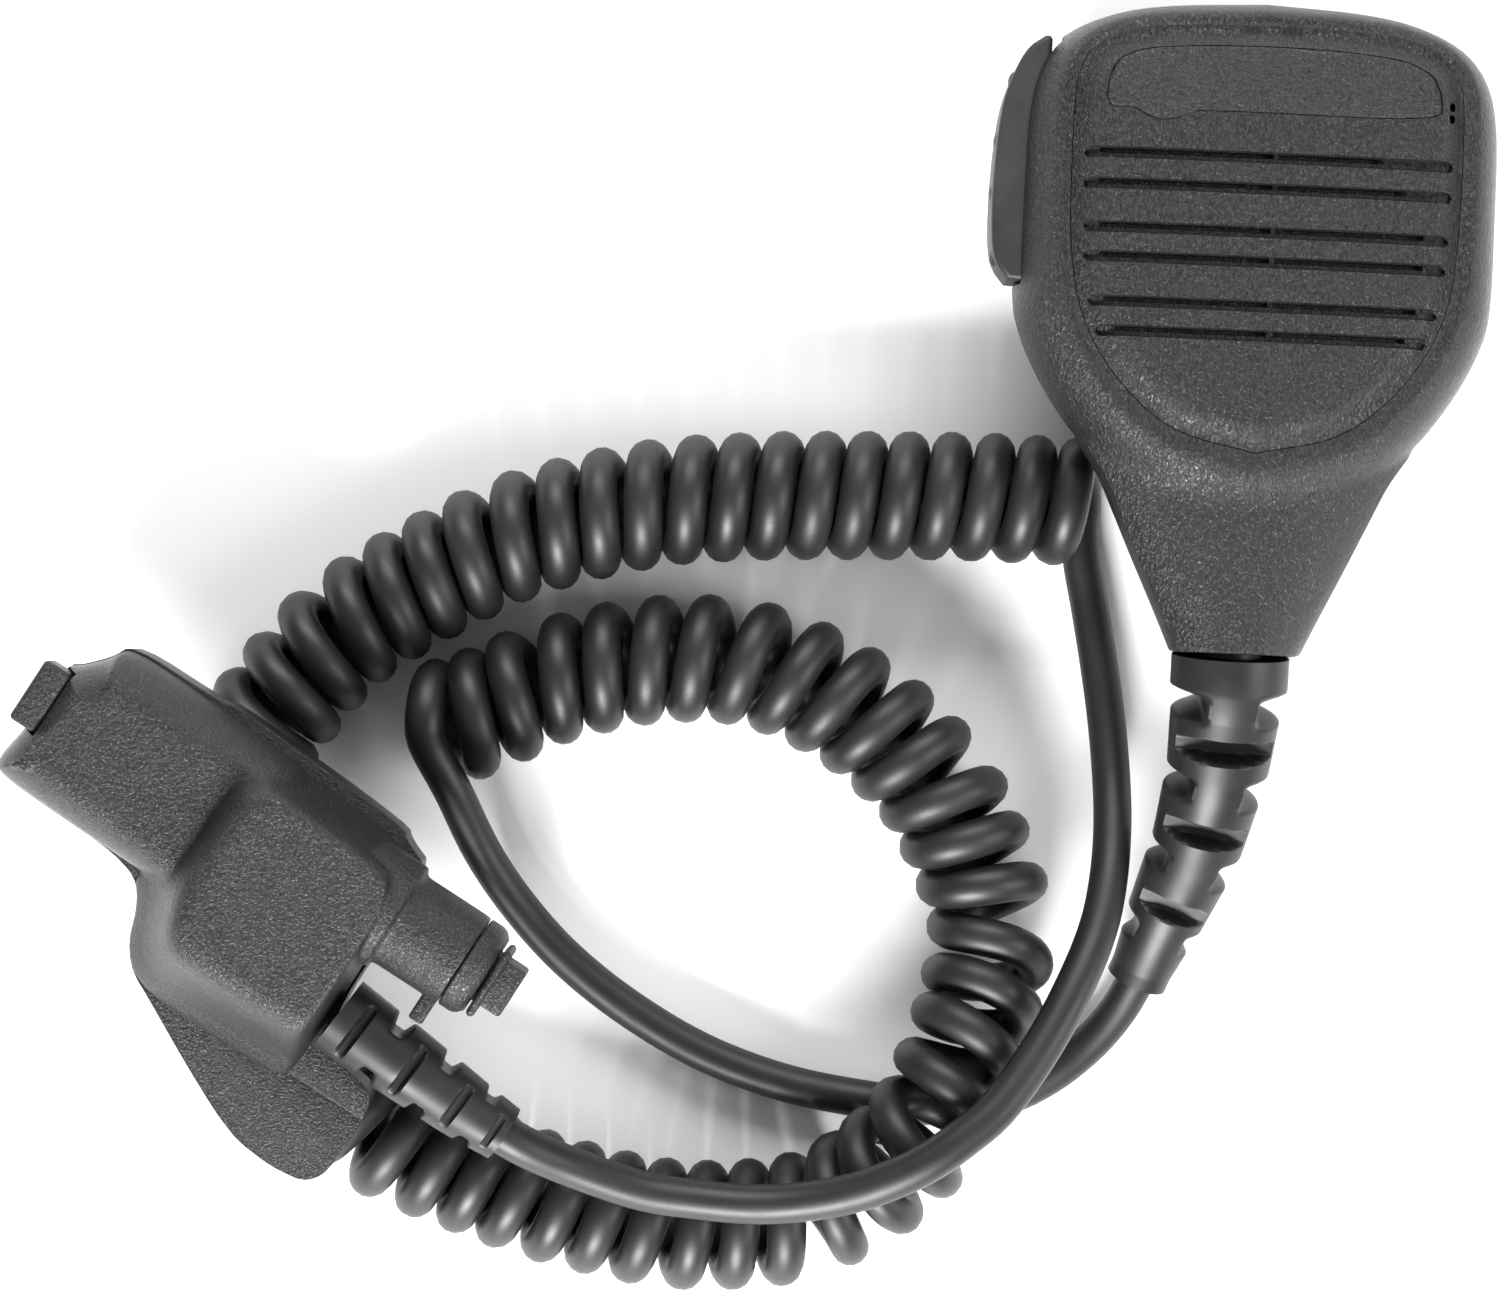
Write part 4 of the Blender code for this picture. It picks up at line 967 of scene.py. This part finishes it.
def housing_rings(mouth, height, sign, steps):
    """Rings of one half of the head: its outside from the parting plane to a mouth, then its inside."""
    angles = head_angles()
    rim = [ray_to(BODY_OUTLINE, a) for a in angles]
    inner_body = inset(BODY_OUTLINE, WALL)
    inner_rim = [ray_to(inner_body, a) for a in angles]
    middle = [ray_to(mouth, a) for a in angles]
    rim_z = PART_Z + sign * GAP / 2

    def between(edge, step, thinner):
        ring = []
        for (ax, ay), (bx, by) in zip(edge, middle):
            x, y = ax + (bx - ax) * step, ay + (by - ay) * step
            ring.append((x, y, PART_Z + sign * max(height(x, y) - thinner, 0.8)))
        return ring

    outer = [[(x, y, rim_z) for x, y in rim], *[between(rim, step, 0.0) for step in steps]]
    inner = [between(inner_rim, step, WALL + 0.2) for step in (1.0, 0.6, 0.25, 0.06)]
    inner.append([(x, y, rim_z) for x, y in inner_rim])
    return outer, inner


def cut_openings(shell):
    """The window for the talk key and the hole for the strain relief in one half of the head."""
    boolean(shell, block("key_window", (-40, -11.2, KEY_LOW_Z - GAP), (-25.7, 21.4, KEY_HIGH_Z + GAP)),
            "DIFFERENCE")
    boolean(shell, rod("neck_hole", 4.7, (-0.2, -61.5, PART_Z), (-0.2, -53.5, PART_Z), 40), "DIFFERENCE")
    return boolean(shell, rod("neck_room", 5.5, (0, -55.8, PART_Z), (0, -52.8, PART_Z), 40), "DIFFERENCE")


OUTER_STEPS = (0.006, 0.02, 0.045, 0.08, 0.12, 0.17, 0.23, 0.3, 0.38, 0.46, 0.54, 0.62, 0.7, 0.77, 0.84, 0.9,
               0.95, 1.0)


def make_front_housing(settings):
    outer, inner = housing_rings(PANEL_OUTLINE, lambda x, y: front_height(x, y, settings), 1, OUTER_STEPS)
    shell = ringed("front_shell", [*outer, *inner, outer[0]], caps=False)
    outward(shell, 0.01)
    cut_openings(shell)
    return stands_for(shell, "microphone", FINISHES["housing"], "black_textured_plastic", "front_housing",
                      angle=50)


def make_rear_housing():
    outer, inner = housing_rings(shrunk(HEAD_OUTLINE, 0.66), back_depth, -1, OUTER_STEPS)
    tub = ringed("rear_tub", [*reversed(outer), *reversed(inner)])
    cut_openings(tub)
    boolean(tub, rod("clip_pivot_bore", 1.7, (0, 0, 6.0), (0, 0, 18.0), 32), "DIFFERENCE")
    for x, y in SCREWS:
        boolean(tub, rod("screw_bore", 1.3, (x, y, 7.0), (x, y, 27.0), 24), "DIFFERENCE")
        boolean(tub, rod("screw_seat", 2.4, (x, y, 9.3), (x, y, 13.3), 32), "DIFFERENCE")
    return stands_for(tub, "microphone", FINISHES["housing"], "black_textured_plastic", "rear_housing",
                      angle=50)


# ---------------------------------------------------------------- grille panel and label field

SLIT_ENDS = [14.0, 17.0, 19.5, 19.5, 19.0, 18.0]
SLIT_RIB_X = 0.8
PANEL_BACK_Z = 31.2


def channel_depth(x, y, settings):
    """How far the panel is sunk in its sound channels, in millimetres."""
    sunk = 0.0
    half = settings.slot_width / MM / 2
    depth = settings.slot_depth / MM
    for (slot_y, reach), slit_end in zip(SLOTS, SLIT_ENDS):
        if abs(y - slot_y) > half + 0.4:
            continue
        over = max(abs(x) - (reach - half), 0.0)
        away = math.hypot(over, y - slot_y)
        sunk = max(sunk, depth * (1 - ramp(away, half - 0.22, half)))
        slit = settings.slit_width / MM / 2
        beside = abs(y - slot_y - 0.28)
        within = min(x + reach - 2.0, slit_end - x, abs(x - SLIT_RIB_X) - 0.3)
        if within > 0 and beside < slit + 0.1:
            sunk = max(sunk, (depth + 1.1 * ramp(within, 0.0, 0.25)) if beside < slit else depth)
    return sunk


def grille_rows(settings):
    """Heights of the panel's grid lines: fine steps across each channel, wider ones between them."""
    half = settings.slot_width / MM / 2
    slit = settings.slit_width / MM / 2
    fine = [-half - 0.25, -half, -half + 0.11, -half + 0.24, 0.28 - slit - 0.06, 0.28 - slit + 0.01, 0.28,
            0.28 + slit - 0.01, 0.28 + slit + 0.06, half - 0.1, half, half + 0.25]
    rows = [slot_y + step for slot_y, _ in SLOTS for step in sorted(fine)]
    y = -34.0
    while y < 24.5:
        if all(abs(y - slot_y) > half + 0.6 for slot_y, _ in SLOTS):
            rows.append(y)
        y += 0.75
    return sorted(rows)


def grille_columns():
    columns = []
    x = -26.5
    while x < 26.5:
        columns.append(x)
        close = min(abs(x - SLIT_RIB_X), *[abs(abs(x) - (reach - 0.4)) for _, reach in SLOTS])
        x += 0.2 if close < 0.9 else 0.6
    return [*columns, 26.5]


def make_panel(settings):
    rows = grille_rows(settings)
    columns = grille_columns()
    nothing_selected()
    bpy.ops.mesh.primitive_grid_add(x_subdivisions=len(columns) - 1, y_subdivisions=len(rows) - 1, size=2.0)
    panel = named("grille_face")
    place = [(columns[round((v.co.x + 1) / 2 * (len(columns) - 1))],
              rows[round((v.co.y + 1) / 2 * (len(rows) - 1))]) for v in panel.data.vertices]
    for vert, (x, y) in zip(panel.data.vertices, place):
        top = PART_Z + front_height(x, y, settings) - channel_depth(x, y, settings)
        vert.co = Vector((x, y, max(top, PANEL_BACK_Z + 0.2))) * MM
    bpy.ops.object.mode_set(mode="EDIT")
    bpy.ops.mesh.select_all(action="SELECT")
    bpy.ops.mesh.extrude_region_move()
    bpy.ops.object.mode_set(mode="OBJECT")
    for vert in panel.data.vertices:
        if vert.select:
            vert.co.z = PANEL_BACK_Z * MM
    outward(panel, 0.0001)
    edge = raised("panel_edge", inset(PANEL_OUTLINE, 0.11), PANEL_BACK_Z - 3, 45)
    boolean(panel, edge, "INTERSECT")
    for shift in (0.75, -0.75):
        oval = [(MIC_PORT[0] + 0.42 * math.cos(t), MIC_PORT[1] + shift + 0.6 * math.sin(t))
                for t in (2 * math.pi * k / 20 for k in range(20, 0, -1))]
        boolean(panel, raised("mic_port", oval, PART_Z + 5, 45), "DIFFERENCE")
    boolean(panel, raised("label_recess", inset(LABEL_OUTLINE, -0.09), 32.6, 45), "DIFFERENCE")
    return stands_for(panel, "microphone", FINISHES["panel"], "black_textured_plastic", "grille_panel",
                      angle=40)


LABEL_STEPS = [(1.0, 0.16), (0.994, 0.04), (0.985, 0.0), (0.9, 0.0), (0.72, 0.0), (0.5, 0.0), (0.25, 0.0),
               (0.05, 0.0)]


def make_label(settings):
    """The blank field above the channels, a separate plate that follows the panel's crown."""
    rings = [[(x, y, 32.7) for x, y in LABEL_OUTLINE]]
    for part, lower in LABEL_STEPS:
        ring = []
        for x, y in LABEL_OUTLINE:
            x, y = x * part, 14.5 + (y - 14.5) * part
            ring.append((x, y, PART_Z + front_height(x, y, settings) - lower))
        rings.append(ring)
    label = ringed("label_field", rings)
    return stands_for(label, "microphone", FINISHES["label"], "black_textured_plastic", "label_plate",
                      angle=40)


# ---------------------------------------------------------------- talk key

KEY_BUMPS = [15.4, 7.6, 0.9, -7.4]


def make_talk_key(settings):
    outline = [*smooth(KEY_SIDE, 1.0), (KEY_BACK_X, -10.8), (KEY_BACK_X, 21.0)]
    key = raised("talk_key", outline, KEY_LOW_Z, KEY_HIGH_Z)
    rounded_edges(key, 2.2, 7, 50)
    lugs = block("talk_key_lugs", (-27.9, -8, KEY_LOW_Z - 0.7), (KEY_BACK_X, 8, KEY_HIGH_Z + 0.8), 0.15)
    boolean(key, lugs, "UNION")
    for y in KEY_BUMPS:
        x = key_face_x(y)
        nothing_selected()
        bpy.ops.mesh.primitive_uv_sphere_add(segments=28, ring_count=16, radius=settings.bump_radius,
                                             location=Vector((x + 0.62, y, 21.7)) * MM, scale=(1.0, 1.5, 2.4))
        boolean(key, named("grip_bump"), "UNION")
    return stands_for(key, "talk_key", FINISHES["key"], "key_rubber", "ptt_button", angle=45)


def key_face_x(y):
    """Where the talk key's outer face is at a height along the head."""
    face = smooth(KEY_SIDE, 0.5)
    return min(face, key=lambda point: abs(point[1] - y))[0]


# ---------------------------------------------------------------- plug

NOSE_LOW = [(-34.0, -3.6), (-32.2, -5.4), (-16.0, -5.8), (4.0, -5.8), (4.0, 16.6), (-11.0, 17.2),
            (-27.4, 17.6), (-28.8, 14.9), (-31.6, 12.0), (-33.0, 11.4), (-33.0, 2.2)]
BLOCK_LOW = [(-11.5, -6.4), (-8.8, -10.2), (-7.3, -14.6), (-5.0, -17.4), (-0.6, -19.0), (18.2, -18.8),
             (19.9, -17.0), (19.9, 14.4), (12.0, 15.7), (-11.0, 17.0)]
BLOCK_TOP = [(-3.6, -2.4), (-3.0, -4.8), (-2.0, -7.6), (-0.4, -9.4), (2.2, -10.4), (17.4, -10.4),
             (19.0, -9.4), (19.0, 12.0), (12.0, 13.2), (-3.6, 13.6)]
LOWER_EDGE = [(-34.0, -3.8), (-32.2, -5.6), (-16.0, -6.0), (-11.0, -7.2), (-8.6, -10.4), (-7.1, -14.8),
              (-4.8, -17.6), (-0.7, -19.6), (7.0, -23.6), (14.1, -27.0), (18.6, -28.6), (24.0, -29.0),
              (28.6, -28.4), (30.6, -25.8), (30.6, -15.5), (29.0, -13.5), (20.2, -12.8), (20.2, 14.2),
              (16.0, 15.8), (14.6, 17.1), (-12.0, 18.5), (-14.0, 17.8), (-27.6, 17.8), (-29.0, 15.0),
              (-31.8, 12.0), (-33.0, 11.4), (-33.0, 2.0)]
PLUG_SCREWS = [(-29.4, 5.0), (10.0, -13.6)]
CONTACT_ROOM = ((-24.0, 0.0), (6.0, 11.0))


def spread_points(outline, count):
    """The same closed outline walked in even steps, starting at its first point."""
    closed = [*outline, outline[0]]
    reach = [0.0]
    for (ax, ay), (bx, by) in zip(closed, closed[1:]):
        reach.append(reach[-1] + math.hypot(bx - ax, by - ay))
    even = []
    i = 0
    for k in range(count):
        wanted = reach[-1] * k / count
        while reach[i + 1] < wanted:
            i += 1
        part = (wanted - reach[i]) / (reach[i + 1] - reach[i])
        (ax, ay), (bx, by) = closed[i], closed[i + 1]
        even.append((ax + (bx - ax) * part, ay + (by - ay) * part))
    return even


def shaped(low, top, part):
    return [(ax + (bx - ax) * part, ay + (by - ay) * part) for (ax, ay), (bx, by) in zip(low, top)]


def flared(name, low, top, heights, times=3, count=160):
    """A block whose sides sweep in from one outline to another, with rounded corners."""
    rings = []
    for z, part in heights:
        outline = spread_points(rounded(shaped(low, top, part), times), count)
        rings.append([(u, v, z) for u, v in outline])
    return ringed(name, rings)


def make_plug_upper():
    floor = PLUG_SPLIT_Z + GAP / 2
    nose_top = inset(NOSE_LOW[::-1], 4.4)[::-1]
    nose = flared("plug_nose", NOSE_LOW, nose_top,
                  [(floor, 0.0), (26.5, 0.02), (28.6, 0.1), (30.2, 0.22), (31.6, 0.4), (32.6, 0.58),
                   (33.3, 0.76), (33.8, 0.95), (NOSE_TOP_Z, 1.2)])
    core = flared("plug_core", BLOCK_LOW, BLOCK_TOP,
                  [(floor, 0.0), (25.4, 0.03), (26.6, 0.14), (28.2, 0.3), (30.4, 0.46), (33.0, 0.61),
                   (35.4, 0.74), (37.2, 0.86), (38.4, 0.97), (39.1, 1.08), (PLUG_TOP_Z, 1.24)])
    barrel = rod("plug_barrel", BARREL_R, (14.2, BARREL_V, BARREL_Z), (30.6, BARREL_V, BARREL_Z), 72)
    saddle = rod("barrel_saddle", BARREL_R + 1.0, (13.8, BARREL_V, BARREL_Z), (20.6, BARREL_V, BARREL_Z), 72)
    body = boolean(boolean(core, nose, "UNION"), boolean(barrel, saddle, "UNION"), "UNION")
    fused(body, 0.34, 5)
    boolean(body, block("barrel_key_tab", (28.4, -2.4, 27.2), (30.4, 3.0, 29.6), 0.35), "UNION")
    boolean(body, block("block_room", (0.6, -7.6, 23.0), (17.0, 11.4, 36.6)), "DIFFERENCE")
    boolean(body, block("nose_room", (-26.0, -1.4, 23.2), (1.6, 12.4, 31.2)), "DIFFERENCE")
    boolean(body, rod("barrel_bore", 4.5, (6.0, BARREL_V, BARREL_Z), (32.0, BARREL_V, BARREL_Z), 48),
            "DIFFERENCE")
    boolean(body, block("hook_room", (-36.0, 2.0, 27.2), (-30.6, 11.4, 36.0)), "DIFFERENCE")
    in_plug_frame(body)
    return stands_for(body, "microphone", FINISHES["plug"], "black_textured_plastic", "plug_upper_shell",
                      angle=40)


def make_plug_lower():
    """The lower shell with its side wing, whose top slopes away from the body."""
    top = PLUG_SPLIT_Z - GAP / 2
    outline = rounded(LOWER_EDGE, 2)
    shell = raised("plug_lower", outline, PLUG_BASE_Z, top)
    slope = block("wing_slope", (-6, -40, 21.0), (34, -17.0, 30.0))
    from_hinge = Matrix.Translation((0, 17.0 * MM, -21.0 * MM))
    tilted = Matrix.Rotation(math.radians(-16), 4, "X")
    to_shoulder = Matrix.Translation((0, -17.5 * MM, 24.2 * MM))
    slope.data.transform(to_shoulder @ tilted @ from_hinge)
    boolean(shell, slope, "DIFFERENCE")
    rounded_edges(shell, 0.9, 4, 40)
    boolean(shell, block("lower_room", (-27.0, -2.6, 21.2), (16.0, 13.0, 27.0)), "DIFFERENCE")
    (ua, va), (ub, vb) = CONTACT_ROOM
    boolean(shell, block("contact_window", (ua, va, 15.0), (ub, vb, 22.0)), "DIFFERENCE")
    for u, v in PLUG_SCREWS:
        boolean(shell, rod("screw_bore", 1.2, (u, v, 15.0), (u, v, 27.0), 24), "DIFFERENCE")
        boolean(shell, rod("screw_seat", 2.3, (u, v, 15.0), (u, v, 19.8), 32), "DIFFERENCE")
    in_plug_frame(shell)
    return stands_for(shell, "microphone", FINISHES["plug"], "black_textured_plastic", "plug_lower_shell",
                      angle=40)


CAP_WINDOW = 7.2
CAP_PROFILE = [(30.72, 6.05), (30.95, 6.32), (32.4, 6.32), (33.0, 6.18), (33.45, 5.88), (33.78, 5.5),
               (33.94, 5.35), (34.0, 5.2)]


def barrel_ring(u, radius):
    """A ring round the barrel's axis, in the plug's own frame."""
    turns = [2 * math.pi * k / 72 for k in range(72)]
    return [(u, BARREL_V + radius * math.cos(turn), BARREL_Z + radius * math.sin(turn)) for turn in turns]


def make_plug_end():
    """End cap, latch flange, release button and the hook at the plug's other end."""
    cap = ringed("barrel_cap", [barrel_ring(u, radius) for u, radius in CAP_PROFILE])
    half = CAP_WINDOW / 2
    window = block("cap_window", (28.0, BARREL_V - half, BARREL_Z - half),
                   (40.0, BARREL_V + half, BARREL_Z + half))
    boolean(cap, window, "DIFFERENCE")
    in_plug_frame(cap)
    stands_for(cap, "microphone", FINISHES["plug"], "black_textured_plastic", "plug_end_cap")

    hook = block("latch_hook", (-34.6, 2.3, 27.5), (-30.8, 11.1, 32.6), 0.6, 4)
    in_plug_frame(hook)
    stands_for(hook, "microphone", FINISHES["plug"], "black_textured_plastic", "plug_hook")
    finished_copy("plug_latch_flange", "latch_flange", "microphone", FINISHES["plug"],
                  "black_textured_plastic", 0.2, 3)
    finished_copy("plug_release_button", "release_button", "plug_button", FINISHES["plug"],
                  "black_textured_plastic", 0.3, 3)


# ---------------------------------------------------------------- clip

def make_clip():
    finished_copy("clip_base", "clip_mount", "clip_base", FINISHES["clip"], "black_textured_plastic", 0.25, 3)
    finished_copy("clip_arm", "clip_spring_arm", "clip_arm", FINISHES["clip"], "black_textured_plastic",
                  0.3, 3)


# ---------------------------------------------------------------- small parts that the frame already shapes

def paint_frame_nodes():
    """Give every frame node that still shows the finish of the material slot that it came with."""
    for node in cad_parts.values():
        if node.hide_render:
            continue
        for holder in node.material_slots:
            slot = holder.material.name.split(".")[0]
            holder.material = FINISHES[SLOT_FINISH[slot]]


# ---------------------------------------------------------------- operators

class MIC_OT_stage(bpy.types.Operator):
    """Add the camera, the pale floor and the soft lights"""
    bl_idname = "mic.stage"
    bl_label = "Stage"

    def execute(self, context):
        make_stage(context.scene.mic_stage)
        return {"FINISHED"}


class MIC_OT_finishes(bpy.types.Operator):
    """Make the plastic, rubber, metal, board and paper finishes"""
    bl_idname = "mic.finishes"
    bl_label = "Finishes"

    def execute(self, context):
        make_finishes(context.scene.mic_finish)
        return {"FINISHED"}


class MIC_OT_cord(bpy.types.Operator):
    """Add the coiled cord with its two straight tails"""
    bl_idname = "mic.cord"
    bl_label = "Cord"

    def execute(self, context):
        make_cord(context.scene.mic_cord)
        return {"FINISHED"}


class MIC_OT_reliefs(bpy.types.Operator):
    """Add the slotted strain reliefs at the neck and at the plug"""
    bl_idname = "mic.reliefs"
    bl_label = "Strain Reliefs"

    def execute(self, context):
        make_mic_relief()
        make_plug_relief()
        return {"FINISHED"}


class MIC_OT_housings(bpy.types.Operator):
    """Add the front and rear halves of the head"""
    bl_idname = "mic.housings"
    bl_label = "Housings"

    def execute(self, context):
        make_front_housing(context.scene.mic_head)
        make_rear_housing()
        return {"FINISHED"}


class MIC_OT_grille(bpy.types.Operator):
    """Add the grille panel with its sound channels, and the blank label field"""
    bl_idname = "mic.grille"
    bl_label = "Grille"

    def execute(self, context):
        make_panel(context.scene.mic_head)
        make_label(context.scene.mic_head)
        return {"FINISHED"}


class MIC_OT_talk_key(bpy.types.Operator):
    """Add the rubber talk key with its grip bumps"""
    bl_idname = "mic.talk_key"
    bl_label = "Talk Key"

    def execute(self, context):
        make_talk_key(context.scene.mic_head)
        return {"FINISHED"}


class MIC_OT_plug(bpy.types.Operator):
    """Add the connector's shells, end cap, flange, release button and hook"""
    bl_idname = "mic.plug"
    bl_label = "Side Connector"

    def execute(self, context):
        make_plug_upper()
        make_plug_lower()
        make_plug_end()
        return {"FINISHED"}


class MIC_OT_clip(bpy.types.Operator):
    """Add the belt clip's mount and its sprung arm"""
    bl_idname = "mic.clip"
    bl_label = "Belt Clip"

    def execute(self, context):
        make_clip()
        return {"FINISHED"}


class MIC_OT_paint(bpy.types.Operator):
    """Paint the inner parts that come with the frame"""
    bl_idname = "mic.paint"
    bl_label = "Paint Inner Parts"

    def execute(self, context):
        paint_frame_nodes()
        return {"FINISHED"}


STEPS = (MIC_OT_stage, MIC_OT_finishes, MIC_OT_cord, MIC_OT_reliefs, MIC_OT_housings, MIC_OT_grille,
         MIC_OT_talk_key, MIC_OT_plug, MIC_OT_clip, MIC_OT_paint)
SETTINGS = {"mic_stage": MIC_stage_settings, "mic_finish": MIC_finish_settings, "mic_cord": MIC_cord_settings,
            "mic_head": MIC_head_settings}


class MIC_PT_sidebar(bpy.types.Panel):
    bl_idname = "MIC_PT_sidebar"
    bl_label = "Hand Microphone"
    bl_space_type = "VIEW_3D"
    bl_region_type = "UI"
    bl_category = "Microphone"

    def draw(self, context):
        for name, group in SETTINGS.items():
            column = self.layout.column(align=True)
            for key in group.__annotations__:
                column.prop(getattr(context.scene, name), key)
        for step in STEPS:
            self.layout.operator(step.bl_idname)


def register():
    for group in SETTINGS.values():
        bpy.utils.register_class(group)
    for step in STEPS:
        bpy.utils.register_class(step)
    bpy.utils.register_class(MIC_PT_sidebar)
    for name, group in SETTINGS.items():
        setattr(bpy.types.Scene, name, bpy.props.PointerProperty(type=group))


def unregister():
    for name in SETTINGS:
        delattr(bpy.types.Scene, name)
    bpy.utils.unregister_class(MIC_PT_sidebar)
    for step in reversed(STEPS):
        bpy.utils.unregister_class(step)
    for group in SETTINGS.values():
        bpy.utils.unregister_class(group)


def main():
    register()
    bpy.ops.mic.stage()
    bpy.ops.mic.finishes()
    bpy.ops.mic.cord()
    bpy.ops.mic.reliefs()
    bpy.ops.mic.housings()
    bpy.ops.mic.grille()
    bpy.ops.mic.talk_key()
    bpy.ops.mic.plug()
    bpy.ops.mic.clip()
    bpy.ops.mic.paint()


if __name__ == "__main__":
    main()
